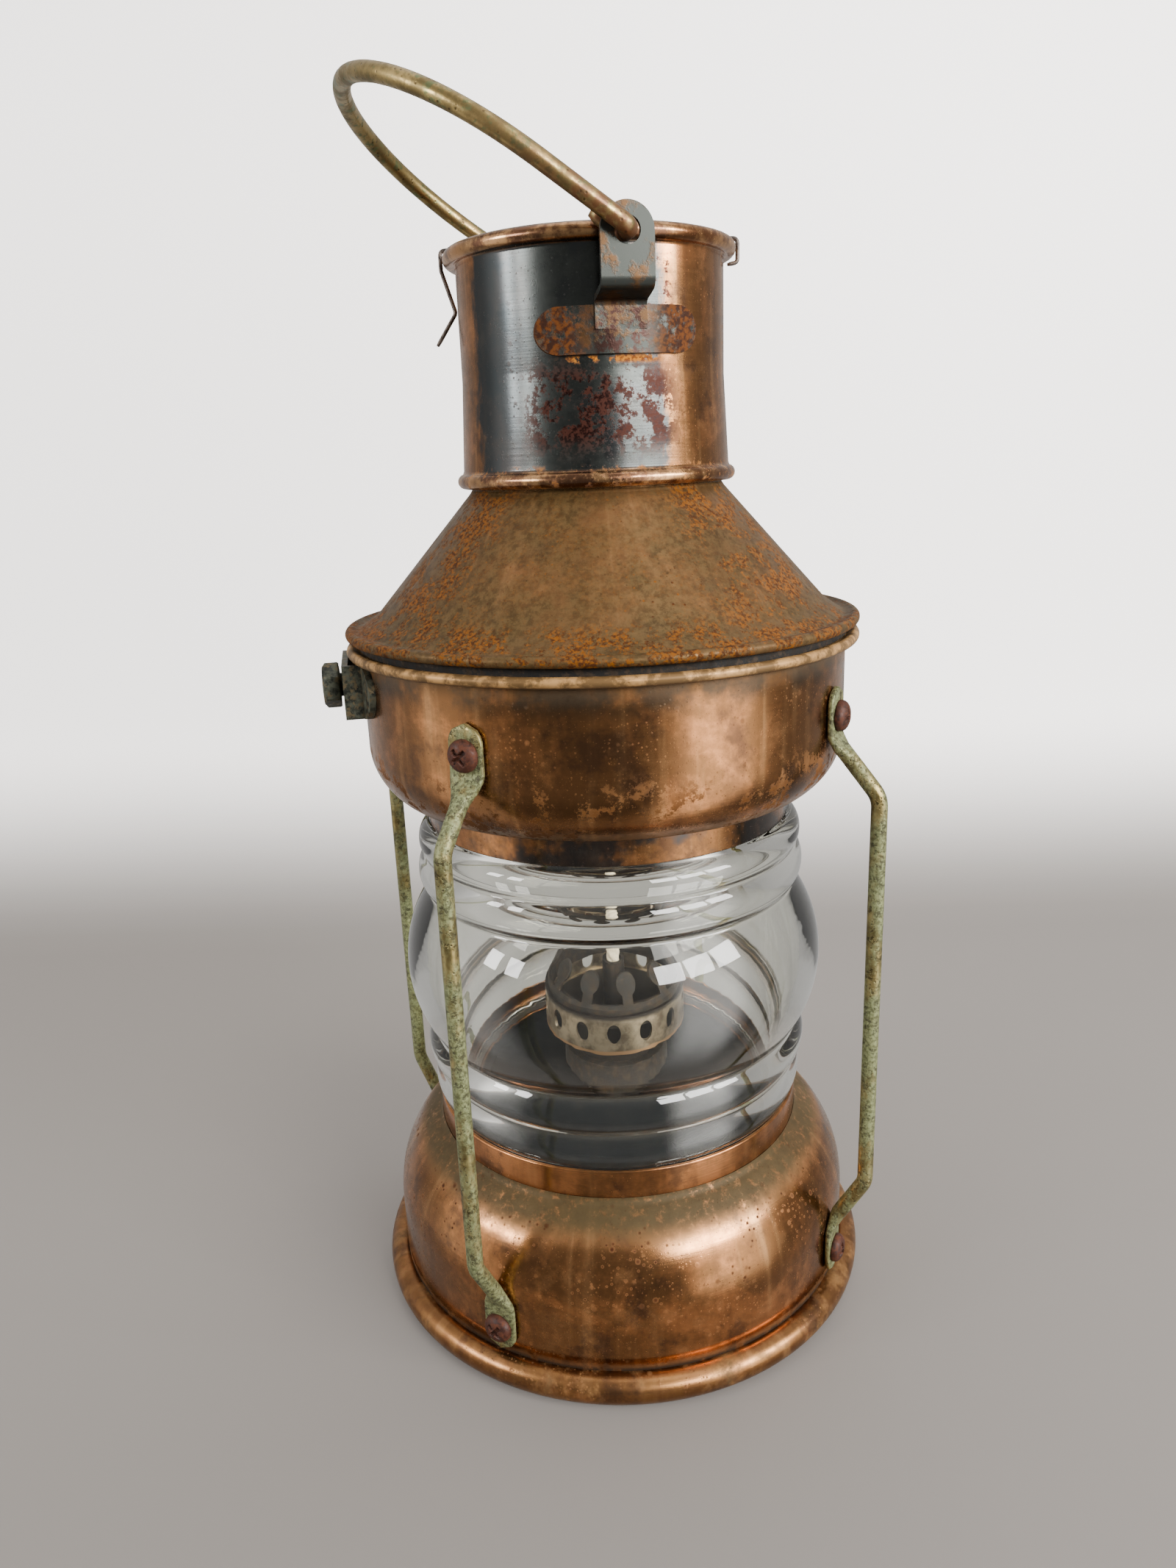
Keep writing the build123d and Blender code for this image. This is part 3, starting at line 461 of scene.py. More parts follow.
def make_glass():
    """Clear glass with a breath of dust, more of it in the grooves; lamps shine through unbent."""
    s = Surface("clear_glass")
    dust = s.product(s.step(s.noise(7, 5, 0.7), 0.46, 0.75), 0.012)
    grooves = s.either(*[
        s.product(s.band(s.z, groove - 0.4, groove + 0.4, 0.8), 0.07) for groove in RIB_HEIGHTS[1:5]
    ])
    waves = s.round_noise(26, 9, 2, 1.0)
    shine = s.new("ShaderNodeBsdfPrincipled")
    s.join(shine.inputs["Base Color"], (0.945, 0.94, 0.885))
    s.join(shine.inputs["Roughness"], 0.015)
    s.join(shine.inputs["IOR"], 1.5)
    s.join(shine.inputs["Transmission Weight"], 1.0)
    s.join(shine.inputs["Normal"], s.bump(waves, 0.10, 0.5))
    film = s.new("ShaderNodeBsdfDiffuse")
    s.join(film.inputs["Color"], (0.34, 0.31, 0.24))
    dusty = s.new("ShaderNodeMixShader")
    s.join(dusty.inputs[0], s.either(dust, grooves))
    s.join(dusty.inputs[1], shine.outputs[0])
    s.join(dusty.inputs[2], film.outputs[0])
    clear = s.new("ShaderNodeBsdfTransparent")
    s.join(clear.inputs["Color"], (0.92, 0.93, 0.91))
    lamps = s.new("ShaderNodeMixShader")
    s.join(lamps.inputs[0], s.new("ShaderNodeLightPath").outputs["Is Shadow Ray"])
    s.join(lamps.inputs[1], dusty.outputs[0])
    s.join(lamps.inputs[2], clear.outputs[0])
    s.join(s.output.inputs["Surface"], lamps.outputs[0])
    return s.material


def make_verdigris():
    """Brass wire under pale green verdigris, rubbed through in long patches."""
    s = Surface("verdigris_brass")
    patches = s.step(s.noise(9, 6, 0.72, stretch=(1, 1, 2.2)), 0.34, 0.54)
    grain = s.noise(0.9, 5, 0.75)
    brass = s.mix(s.step(s.noise(5, 4), 0.35, 0.65), (0.13, 0.098, 0.036), (0.30, 0.23, 0.09))
    green = s.mix(s.step(grain, 0.38, 0.60), (0.060, 0.068, 0.026), (0.20, 0.225, 0.105))
    color = s.mix(s.product(patches, 0.9), brass, green)
    eaten = s.product(s.step(s.noise(1.8, 5, 0.75, offset=(3, 3, 3)), 0.53, 0.60), 0.85)
    pits = s.either(s.specks(0.5, 0.35), eaten)
    color = s.mix(s.product(pits, 0.8), color, (0.022, 0.017, 0.007))
    roughness = s.blend(patches, 0.34, 0.60)
    metallic = s.blend(patches, 0.95, 0.40)
    height = s.math("SUBTRACT", s.product(patches, 0.5), pits)
    return s.finish(color, roughness, metallic, s.bump(height, 0.12, 0.9))


def make_bail_brass():
    """Tarnished brass wire, browner towards the brackets."""
    s = Surface("bail_brass")
    patches = s.step(s.noise(6, 5, 0.7), 0.40, 0.62)
    brass = s.mix(patches, (0.36, 0.26, 0.105), (0.17, 0.125, 0.052))
    green = s.mix(s.step(s.noise(3, 5, 0.7, offset=(5, 5, 5)), 0.52, 0.62), brass, (0.15, 0.165, 0.075))
    low = s.product(s.step(s.z, 296, 274), s.step(s.noise(3.4, 4, 0.65), 0.30, 0.56))
    color = s.mix(s.product(low, 0.9), green, (0.12, 0.042, 0.016))
    pits = s.specks(0.6, 0.34)
    color = s.mix(s.product(pits, 0.7), color, (0.045, 0.028, 0.014))
    roughness = s.blend(patches, 0.30, 0.48)
    metallic = s.blend(low, 1.0, 0.55)
    height = s.math("SUBTRACT", s.noise(1.6, 3), pits)
    return s.finish(color, roughness, metallic, s.bump(height, 0.08, 0.6))


def make_bracket():
    """Worn plating: grey steel with brown copper left in patches and orange rust on the pad's ends."""
    s = Surface("bracket_plate")
    wear = s.step(s.noise(6, 5, 0.68, offset=(3, 1, 2)), 0.48, 0.62)
    color = s.mix(wear, (0.034, 0.037, 0.033), (0.080, 0.042, 0.019))
    across = s.math("ABSOLUTE", s.x)
    pad = s.step(s.z, 260.5, 258.5)
    ends = s.product(pad, s.step(across, 5, 12))
    rusty = s.product(ends, s.step(s.noise(3, 5, 0.7, offset=(2, 2, 2)), 0.36, 0.50))
    purple = s.product(pad, s.step(across, 9, 4), s.step(s.noise(2.4, 4, 0.7), 0.45, 0.58))
    color = s.mix(purple, color, (0.032, 0.015, 0.012))
    orange = s.mix(s.step(s.noise(1.2, 3), 0.4, 0.6), (0.024, 0.006, 0.001), (0.095, 0.027, 0.002))
    color = s.mix(rusty, color, orange)
    roughness = s.blend(rusty, s.blend(wear, 0.36, 0.42), 0.75)
    metallic = s.blend(rusty, 0.75, 0.10)
    height = s.math("ADD", s.product(rusty, s.noise(0.9, 3)), s.product(wear, 0.3))
    return s.finish(color, roughness, metallic, s.bump(height, 0.12, 0.8), Specular_IOR_Level=0.2)


def make_rough_metal(name, dark, light, size=2.0, rust=None, roughness=(0.42, 0.7), metallic=0.7, bump=0.1):
    """Cast or corroded small parts: two tones in clouds, with a third where they're rusty."""
    s = Surface(name)
    cloud = s.step(s.noise(size, 5, 0.7), 0.36, 0.64)
    color = s.mix(cloud, dark, light)
    if rust is not None:
        color = s.mix(s.step(s.noise(size * 0.8, 4, 0.7, offset=(4, 7, 1)), 0.50, 0.60), color, rust)
    rough = s.blend(cloud, *roughness)
    return s.finish(color, rough, metallic, s.bump(s.noise(size * 0.5, 4, 0.7), bump, 0.8))


def make_drum():
    """Burner drum: pale tinned wall between its smoked top and its dark foot."""
    s = Surface("burner_drum")
    radius = s.math("SQRT", s.math("ADD", s.product(s.x, s.x), s.product(s.y, s.y)))
    wall = s.product(s.step(radius, 18.6, 19.2), s.step(s.z, 80.2, 78.6))
    clouds = s.step(s.noise(4, 4, 0.6), 0.35, 0.65)
    bright = s.mix(clouds, (0.40, 0.33, 0.23), (0.16, 0.125, 0.085))
    color = s.mix(wall, (0.012, 0.008, 0.006), bright)
    lip = s.product(s.step(s.z, 71.4, 70.9), wall)
    color = s.mix(lip, color, (0.50, 0.30, 0.16))
    roughness = s.blend(wall, 0.6, 0.34)
    metallic = s.blend(wall, 0.4, 0.9)
    return s.finish(color, roughness, metallic, s.bump(s.noise(1.2, 3), 0.05, 0.6))


def make_cotton():
    """Twisted cotton, scorched at the very top."""
    s = Surface("wick_cotton")
    turns = s.math("SINE", s.math("ADD", s.product(s.z, 2.4), s.product(s.math("ARCTAN2", s.y, s.x), 3.0)))
    fibre = s.noise(0.35, 4, 0.7, stretch=(1, 1, 3))
    char = s.product(s.step(s.z, 92.4, 93.4), 0.30)
    color = s.mix(s.step(fibre, 0.35, 0.65), (0.62, 0.50, 0.34), (0.80, 0.71, 0.52))
    color = s.mix(char, color, (0.20, 0.15, 0.10))
    height = s.math("ADD", s.product(turns, 0.5), fibre)
    return s.finish(color, 0.9, 0.0, s.bump(height, 0.22, 0.9))


def make_gasket():
    s = Surface("gasket_cork")
    grain = s.noise(0.9, 4, 0.6)
    color = s.mix(grain, (0.030, 0.028, 0.026), (0.085, 0.075, 0.062))
    return s.finish(color, 0.8, 0.0, s.bump(grain, 0.1, 0.7))


def make_font_black():
    """Black japanned sheet with a little dust."""
    s = Surface("black_japan")
    dust = s.product(s.step(s.noise(6, 6, 0.7), 0.52, 0.72), 0.10)
    color = s.mix(dust, (0.006, 0.007, 0.008), (0.07, 0.062, 0.05))
    normal = s.bump(s.noise(18, 3), 0.3, 0.5)
    return s.finish(color, s.blend(dust, 0.6, 0.8), 0.0, normal, Specular_IOR_Level=0.0)


def bowl_dust(s):
    """Olive bloom under the flange, and a little at the neck."""
    return s.either(s.product(s.step(s.z, 176, 183), 0.75), s.product(s.step(s.z, 149, 145.5), 0.45))


def neck_stain(s):
    """Heat stain in broad patches."""
    return s.product(s.step(s.noise(16, 4, 0.6, offset=(9, 1, 1)), 0.42, 0.56), 0.85)


def base_dust(s):
    """Dust lying on the shoulder, thickest by the collar."""
    return s.product(s.step(s.z, 38.5, 44.5), 0.96)


def cone_dust(s):
    return s.either(s.product(s.step(s.z, 201, 190), 0.70), s.product(s.step(s.z, 215, 219), 0.40))


LOOKS = {
    "cone": copper(
        "cone_copper", low_dust=cone_dust, dust=0.80, rust=0.90, tone=0.78, extra=cone_extra, gloss=0.33,
    ),
    "chimney": copper(
        "chimney_copper", stain=chimney_stain, dust=0.12, rust=0.35, tone=0.35, extra=chimney_extra,
        gloss=0.22,
    ),
    "bowl": copper(
        "bowl_copper", low_dust=bowl_dust, dust=0.14, rust=0.45, tone=0.42, extra=bowl_extra, gloss=0.20,
    ),
    "base": copper(
        "base_copper", low_dust=base_dust, dust=0.20, rust=0.45, tone=0.40, extra=base_extra, gloss=0.17,
    ),
    "bead": copper("bead_copper", dust=0.70, rust=0.80, tone=0.80, extra=flat_edge_extra, gloss=0.27),
    "neck": copper("neck_copper", stain=neck_stain, dust=0.15, rust=0.35, tone=0.35, gloss=0.22),
    "collar": copper("collar_copper", dust=0.10, rust=0.15, tone=0.05, gloss=0.20),
    "glass": make_glass(),
    "verdigris": make_verdigris(),
    "bail": make_bail_brass(),
    "bracket": make_bracket(),
    "screw": make_rough_metal(
        "rusty_screw", (0.022, 0.006, 0.003), (0.085, 0.023, 0.008), size=1.4,
        rust=(0.05, 0.012, 0.005), roughness=(0.5, 0.8), metallic=0.4,
    ),
    "socket": make_rough_metal(
        "blackened_iron", (0.020, 0.022, 0.018), (0.10, 0.105, 0.075), size=2.2,
        rust=(0.13, 0.10, 0.055), roughness=(0.38, 0.6), metallic=0.75,
    ),
    "clip": make_rough_metal(
        "clip_wire", (0.035, 0.028, 0.025), (0.16, 0.13, 0.11), roughness=(0.35, 0.55), metallic=0.9,
    ),
    "burner": make_rough_metal(
        "smoked_brass", (0.003, 0.0025, 0.002), (0.016, 0.011, 0.007), size=2.5,
        rust=(0.030, 0.018, 0.009), roughness=(0.7, 0.9), metallic=0.30,
    ),
    "drum": make_drum(),
    "cotton": make_cotton(),
    "gasket": make_gasket(),
    "font": make_font_black(),
    "inner": make_rough_metal(
        "tinned_sheet", (0.12, 0.105, 0.09), (0.30, 0.28, 0.25), size=6.0,
        rust=(0.16, 0.09, 0.05), roughness=(0.4, 0.6), metallic=0.8,
    ),
}

NODE_LOOKS = {
    "hood_skirt": "burner", "bayonet_pins": "inner", "font_ledge": "inner", "vent_cap": "inner",
    "lower_gasket": "gasket", "upper_gasket": "gasket", "guard_nuts": "screw",
    "font_tank": "font", "font_top": "font", "burner_collar": "burner", "burner_body": "drum",
    "burner_crown": "burner", "wick_tube": "burner", "wick_wheel": "burner", "wick_spindle": "burner",
    "wick_knob": "burner", "socket_strap": "socket", "bail_bracket_front": "bracket",
    "bail_bracket_back": "bracket",
}


# ------------------------------------------------------------------ outlines

def arc(center, radius, start, end, steps=24):
    """Points on an arc, angles in degrees."""
    angles = [math.radians(start + (end - start) * k / steps) for k in range(steps + 1)]
    return [(center[0] + radius * math.cos(a), center[1] + radius * math.sin(a)) for a in angles]


def crowned(low, high, crown, steps=18):
    """An arc from low to high that stands out from its chord by crown."""
    a, b = Vector(low), Vector(high)
    chord = b - a
    out = Vector((chord.y, -chord.x)).normalized()
    radius = (chord.length ** 2 / 4 + crown ** 2) / (2 * crown)
    center = (a + b) / 2 - out * (radius - crown)
    start = math.atan2(a.y - center.y, a.x - center.x)
    end = math.atan2(b.y - center.y, b.x - center.x)
    return arc(center, radius, math.degrees(start), math.degrees(end), steps)


def rounded(corners, steps=4, closed=True):
    """An outline whose corners (a, b, ..., fillet) are rounded; works for flat and for spatial points."""
    result = []
    count = len(corners)
    for i, corner in enumerate(corners):
        point, fillet = Vector(corner[:-1]), corner[-1]
        if fillet <= 0 or (not closed and i in (0, count - 1)):
            result.append(point)
            continue
        before = Vector(corners[i - 1][:-1]) - point
        after = Vector(corners[(i + 1) % count][:-1]) - point
        opening = before.angle(after)
        cut = min(fillet / math.tan(opening / 2), before.length * 0.49, after.length * 0.49)
        start, end = point + before.normalized() * cut, point + after.normalized() * cut
        for k in range(steps + 1):
            t = k / steps
            result.append(start * (1 - t) ** 2 + point * 2 * t * (1 - t) + end * t ** 2)
    return result


def sharp(points):
    """Outline corners without a fillet."""
    return [(p[0], p[1], 0) for p in points]


def eased(points, spacing, passes):
    """A closed outline resampled at an even spacing and softened, so that its grooves are round."""
    points = [Vector(p[:2]) for p in points]
    ring = points + points[:1]
    lengths = [0.0]
    for a, b in zip(ring[:-1], ring[1:]):
        lengths.append(lengths[-1] + (b - a).length)
    count = int(lengths[-1] / spacing)
    result, k = [], 0
    for i in range(count):
        target = lengths[-1] * i / count
        while lengths[k + 1] < target:
            k += 1
        share = (target - lengths[k]) / max(lengths[k + 1] - lengths[k], 1e-9)
        result.append(ring[k].lerp(ring[k + 1], share))
    for _ in range(passes):
        result = [
            (result[i - 1] + 2 * result[i] + result[(i + 1) % count]) / 4 for i in range(count)
        ]
    return result


# ------------------------------------------------------------------ meshes

def publish(mesh, name, body, look, node):
    """Make an object of a finished mesh, riding on its body and standing for its CAD node."""
    for polygon in mesh.polygons:
        polygon.use_smooth = True
    piece = bpy.data.objects.new(name, mesh)
    bpy.context.scene.collection.objects.link(piece)
    mesh.materials.append(LOOKS[look])
    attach(piece, body)
    if node:
        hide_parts(node)
    return piece


def settle(bm, name):
    """Merge doubled corners, turn the faces outward and give the mesh."""
    bmesh.ops.remove_doubles(bm, verts=bm.verts, dist=0.004 * MM)
    bmesh.ops.recalc_face_normals(bm, faces=bm.faces)
    mesh = bpy.data.meshes.new(name)
    bm.to_mesh(mesh)
    bm.free()
    return mesh


def direction(turn):
    """The level direction at this turn from +X, in radians."""
    return Vector((math.cos(turn), math.sin(turn), 0))


def bridge(bm, rings):
    """Faces between each ring of vertices and the next."""
    for here, there in zip(rings[:-1], rings[1:]):
        for k in range(len(here)):
            bm.faces.new((here[k - 1], here[k], there[k], there[k - 1]))


def cap(bm, rings):
    """A face over the first ring and one over the last."""
    bm.faces.new(rings[0])
    bm.faces.new(rings[-1])


def lathe(name, outline, body, look, node, wobble=0.0, segments=SEGMENTS):
    """Turn a closed outline of (radius, height) round the axis; wobble is a small unevenness, inward."""
    bm = bmesh.new()
    rings = []
    for i in range(segments):
        out = direction(TURN * i / segments)
        ring = []
        for radius, height in outline:
            if wobble:
                spot = out * 2.2 + Vector((0, 0, height / 30))
                radius -= wobble * (0.5 + 0.5 * noise.noise(spot))
            ring.append(bm.verts.new((out * radius + Vector((0, 0, height))) * MM))
        rings.append(ring)
    bridge(bm, rings + rings[:1])
    return publish(settle(bm, name), name, body, look, node)


def sweep(path, section, sides=20, side_hint=None):
    """A bmesh tube along a path.

    section(length so far, whole length) gives its half width, half thickness and squareness there.
    side_hint is the direction of its width, and without it the tube isn't twisted along its way.
    """
    bm = bmesh.new()
    lengths = [0.0]
    for a, b in zip(path[:-1], path[1:]):
        lengths.append(lengths[-1] + (b - a).length)
    side = side_hint
    rings = []
    for i, point in enumerate(path):
        along = (path[min(i + 1, len(path) - 1)] - path[max(i - 1, 0)]).normalized()
        if side_hint is None:
            side = along.orthogonal() if side is None else side
            side = (side - along * side.dot(along)).normalized()
        up = along.cross(side)
        half_width, half_thick, power = section(lengths[i], lengths[-1])
        ring = []
        for k in range(sides):
            turn = TURN * (k + 0.5) / sides
            c, s = math.cos(turn), math.sin(turn)
            x = math.copysign(abs(c) ** (2 / power), c) * half_width
            y = math.copysign(abs(s) ** (2 / power), s) * half_thick
            ring.append(bm.verts.new((point + side * x + up * y) * MM))
        rings.append(ring)
    bridge(bm, rings)
    cap(bm, rings)
    return bm


def denser(path, spacing):
    """More points on a path's long runs."""
    result = [path[0]]
    for a, b in zip(path[:-1], path[1:]):
        pieces = max(1, round((b - a).length / spacing))
        result += [a.lerp(b, k / pieces) for k in range(1, pieces + 1)]
    return result


def wire_section(radius, tip=0.35):
    """A round wire whose ends are rounded off over the tip."""
    def at(length, total):
        edge = min(length, total - length)
        share = 1.0 if edge >= tip else 0.72 + 0.28 * math.sqrt(max(edge, 0) / tip)
        return radius * share, radius * share, 2.0
    return at


# ------------------------------------------------------------------ base

def base():
    """The shell with its round shoulder, the bead it stands on, and the collar round the glass."""
    inner = BASE_RADIUS - SHEET
    outside = arc(SHOULDER_CENTER, SHOULDER_RADIUS, 0, SHOULDER_END, 40)
    inside = arc(SHOULDER_CENTER, SHOULDER_RADIUS - SHEET, SHOULDER_END, 0, 40)
    outline = (
        [(BASE_RADIUS, height, 0) for height in (BASE_WALL_FOOT, 12, 20)] + sharp(outside)
        + [(COLLAR_RADIUS + 0.2, SEAT_HEIGHT - SHEET, 0), (COLLAR_RADIUS + 0.05, SEAT_HEIGHT - 0.4, 0.1)]
        + [(COLLAR_RADIUS + 0.02, COLLAR_FOOT + 0.3, 0)]
        + sharp(inside) + [(inner, 14, 0), (inner, BASE_WALL_FOOT, 0)]
    )
    lathe("base_shell_copper", rounded(outline), ROOT, "base", "base_shell", wobble=0.16)
    bead = [(radius, max(height, 0.0)) for radius, height in arc(BEAD_CENTER, BEAD_RADIUS, 0, 360, 56)[:-1]]
    lathe("foot_bead_copper", bead, ROOT, "bead", "foot_ring")
    seat_foot = SEAT_HEIGHT - SHEET
    collar = rounded([
        (COLLAR_RADIUS - 0.05, COLLAR_FOOT, 0.1), (COLLAR_RADIUS - 0.05, COLLAR_TOP - 0.8, 0.3),
        (COLLAR_RADIUS, COLLAR_TOP, 0.45), (COLLAR_BORE, COLLAR_TOP, 0.3), (COLLAR_BORE, SEAT_HEIGHT, 0.1),
        (SEAT_BORE, SEAT_HEIGHT, 0.2), (SEAT_BORE, seat_foot, 0.2),
        (COLLAR_BORE - 0.05, seat_foot, 0.1), (COLLAR_BORE - 0.05, COLLAR_FOOT, 0.1),
    ])
    lathe("lower_collar_copper", collar, ROOT, "collar", "lower_collar", wobble=0.05)


# ------------------------------------------------------------------ glass

def glass():
    """The ribs are crowned arcs between the notches, and the bore swells with the bulge."""
    outline = [(GLASS_BORE, GLASS_FOOT), (GLASS_FOOT_RADIUS, GLASS_FOOT), (GLASS_FOOT_RADIUS, COLLAR_TOP)]
    notches = list(zip(RIB_RADII, RIB_HEIGHTS))
    for low, high, crown in zip(notches[:-1], notches[1:], RIB_CROWNS):
        outline += crowned(low, high, crown, 30)
    bulge_foot, bulge_head = RIB_HEIGHTS[2] - 2, RIB_HEIGHTS[3] + 2
    bulge = crowned((GLASS_BORE, bulge_foot), (GLASS_BORE, bulge_head), BULGE_CROWN, 30)
    outline += [
        (GLASS_HEAD_RADIUS, RIB_HEIGHTS[5] + 0.3), (GLASS_HEAD_RADIUS, GLASS_HEAD),
        (GLASS_HEAD_BORE, GLASS_HEAD), (GLASS_HEAD_BORE, 138.0),
        (GLASS_BORE - 0.4, 128.0), (GLASS_BORE - 0.1, bulge_head),
    ]
    outline += [(radius, height) for radius, height in reversed(bulge)]
    outline += [(GLASS_BORE, 60.0)]
    lathe("ribbed_glass", eased(outline, 0.4, 2), ROOT, "glass", "glass_globe", segments=256)


# ------------------------------------------------------------------ bowl

def bowl():
    """The bowl with its rolled flange, and the flanged neck below it that holds the glass."""
    round_center = (BOWL_RADIUS - BOWL_ROUND, BOWL_ROUND_HEIGHT)
    inner = BOWL_RADIUS - SHEET
    floor_top = BOWL_FLOOR + SHEET
    outline = (
        sharp(arc(round_center, BOWL_ROUND, -60, 0, 26))
        + [(BOWL_RADIUS, 168, 0), (BOWL_RADIUS, 176, 0), (BOWL_RADIUS, BOWL_FLANGE - 0.5, 0.7)]
        + [(FLANGE_EDGE_RADIUS - 0.3, BOWL_FLANGE - 0.55, 0)]
        + sharp(arc((FLANGE_EDGE_RADIUS, BOWL_FLANGE), ROLLED_EDGE, -100, 120, 16))
        + [(BOWL_RADIUS + 0.4, BOWL_FLANGE + 0.5, 0.3), (inner, BOWL_FLANGE + 0.5, 0.5), (inner, 170, 0)]
        + sharp(arc(round_center, BOWL_ROUND - SHEET, 0, -59, 20))
        + [(50, floor_top, 0), (NECK_RADIUS + 0.05, floor_top, 0.2), (NECK_RADIUS + 0.05, BOWL_FLOOR, 0.2)]
        + [(51, BOWL_FLOOR, 0)]
    )
    lathe("upper_bowl_copper", rounded(outline), ROOT, "bowl", "upper_bowl", wobble=0.10)
    bore = NECK_RADIUS - SHEET
    neck = rounded([
        (bore + 0.05, NECK_FOOT, 0.3), (NECK_RADIUS, NECK_FOOT, 0.4), (NECK_RADIUS, floor_top, 0.1),
        (NECK_FLANGE_RADIUS, floor_top + 0.05, 0.3), (NECK_FLANGE_RADIUS, floor_top + SHEET, 0.3),
        (bore, floor_top + SHEET, 0.2), (bore, floor_top - 0.2, 0.1), (NECK_BORE, floor_top - 0.2, 0.3),
        (NECK_BORE, BOWL_FLOOR - 0.2, 0.3), (bore, BOWL_FLOOR - 0.2, 0.1),
    ])
    lathe("neck_collar_copper", neck, ROOT, "neck", "neck_collar")


# ------------------------------------------------------------------ hood

def hood():
    """The cone with its rolled edge and collar, and the chimney with a bead at foot and mouth."""
    under = Vector((-0.7, -0.8))
    collar_bore = CONE_COLLAR_RADIUS - 0.8
    rolled = arc((FLANGE_EDGE_RADIUS, HOOD_FLANGE), ROLLED_EDGE, -85, 130, 18)
    outline = (
        [(FLANGE_EDGE_RADIUS, HOOD_FLANGE - 0.5, 0)] + sharp(rolled)
        + [(61.6, HOOD_FLANGE + 0.7, 1.4), (*CONE_FOOT, 7.0), (*CONE_MIDDLE, 12.0), (*CONE_HEAD, 0.5)]
        + [(CONE_COLLAR_RADIUS, CONE_HEAD[1] + 0.8, 0.3), (CONE_COLLAR_RADIUS, CONE_COLLAR_TOP, 0.2)]
        + [(collar_bore, CONE_COLLAR_TOP, 0.2), (collar_bore, CONE_HEAD[1] - 0.5, 0.6)]
        + [(*(Vector(CONE_MIDDLE) + under), 12.0), (*(Vector(CONE_FOOT) + under), 7.0)]
        + [(60.6, HOOD_FLANGE - 0.5, 1.2)]
    )
    lathe("hood_cone_copper", rounded(outline, 8), HOOD, "cone", "hood_cone", wobble=0.14)
    foot_bore = CHIMNEY_FOOT_RADIUS - SHEET
    straight_bore = CHIMNEY_RADIUS - CHIMNEY_SHEET
    tube = (
        [(31.4, CHIMNEY_FOOT - 1.2, 0)] + sharp(arc((32.8, CHIMNEY_FOOT), CHIMNEY_BEAD, -118, 75, 18))
        + [(CHIMNEY_FOOT_RADIUS + 0.1, 225.2, 0.8), (CHIMNEY_FOOT_RADIUS, 227.0, 3)]
        + [(CHIMNEY_RADIUS, CHIMNEY_STRAIGHT, 20), (CHIMNEY_RADIUS, RIM_HEIGHT - 2.2, 0.8)]
        + sharp(arc((CHIMNEY_BEAD_CENTER, RIM_HEIGHT), CHIMNEY_BEAD, -118, 180, 26))
        + [(straight_bore, RIM_HEIGHT - 2.0, 0.6), (straight_bore, CHIMNEY_STRAIGHT, 20)]
        + [(foot_bore, 226.2, 0.4), (foot_bore - 0.45, 225.4, 0.2)]
    )
    lathe("chimney_copper", rounded(tube, 6), HOOD, "chimney", "chimney_tube", wobble=0.05)


# ------------------------------------------------------------------ wires

def bail():
    """The wire runs up from one hook, over the crown and down to the other, leaning as a whole."""
    lean = math.radians(BAIL_LEAN)
    up, side = Vector((-math.sin(lean), 0, math.cos(lean))), Vector((0, 1, 0))
    hinge = Vector((0, 0, HINGE_HEIGHT))
    crown_start = 24
    hook = [
        (-37.2, 7.9, 0), (-37.2, 0, 2.4), (-43.25, 0, 2.4),
        (-BAIL_HALF_WIDTH, 22, 8), (-BAIL_HALF_WIDTH, crown_start, 0),
    ]
    half = rounded(hook, 8, closed=False)
    crown = []
    for k in range(1, 60):
        turn = math.pi * k / 60
        crown.append(Vector((-BAIL_HALF_WIDTH * math.cos(turn), crown_start + BAIL_CROWN * math.sin(turn))))
    other = [Vector((-point.x, point.y)) for point in reversed(half)]
    path = [hinge + side * point.x + up * point.y for point in half + crown + other]
    bm = sweep(denser(path, 1.6), wire_section(WIRE_RADIUS - 0.02), 24)
    publish(settle(bm, "bail_wire"), "bail_wire", BAIL, "bail", "bail")


def clip():
    """A sprung wire over the mouth: a short hook on one side, a kinked finger tail on the other."""
    out = direction(math.radians(CLIP_ANGLE))
    top = RIM_HEIGHT + 2.7
    corners = [
        (-33.0, 270.2, 0), (-CLIP_REACH, 270.6, 1.0), (-CLIP_REACH, top, 1.3), (CLIP_REACH, top, 1.3),
        (CLIP_REACH, 271.5, 0.9), (32.5, 262.0, 1.4), (37.5, 254.7, 0),
    ]
    flat = rounded(corners, 6, closed=False)
    path = denser([out * point.x + Vector((0, 0, point.y)) for point in flat], 1.0)
    bm = sweep(path, wire_section(CLIP_RADIUS, 0.2), 14)
    publish(settle(bm, "cap_clip_wire"), "cap_clip_wire", HOOD, "clip", "cap_clip")


def rod_section(length, total):
    """A drilled flat lug at each end, forged over a short taper into round wire."""
    lug, taper, rounding = 11.5, 8.0, 4.5
    near = max(min(length, total - length), 0.0)
    flat = 1 - min(max((near - lug) / taper, 0), 1)
    flat = flat * flat * (3 - 2 * flat)
    end = math.sqrt(1 - (1 - near / rounding) ** 2) if near < rounding else 1.0
    half_width = WIRE_RADIUS + 2.45 * flat
    half_thick = WIRE_RADIUS - 1.23 * flat
    return max(half_width * end, 0.3), half_thick * (0.8 + 0.2 * min(near / 0.6, 1)), 2.0 + 2.6 * flat


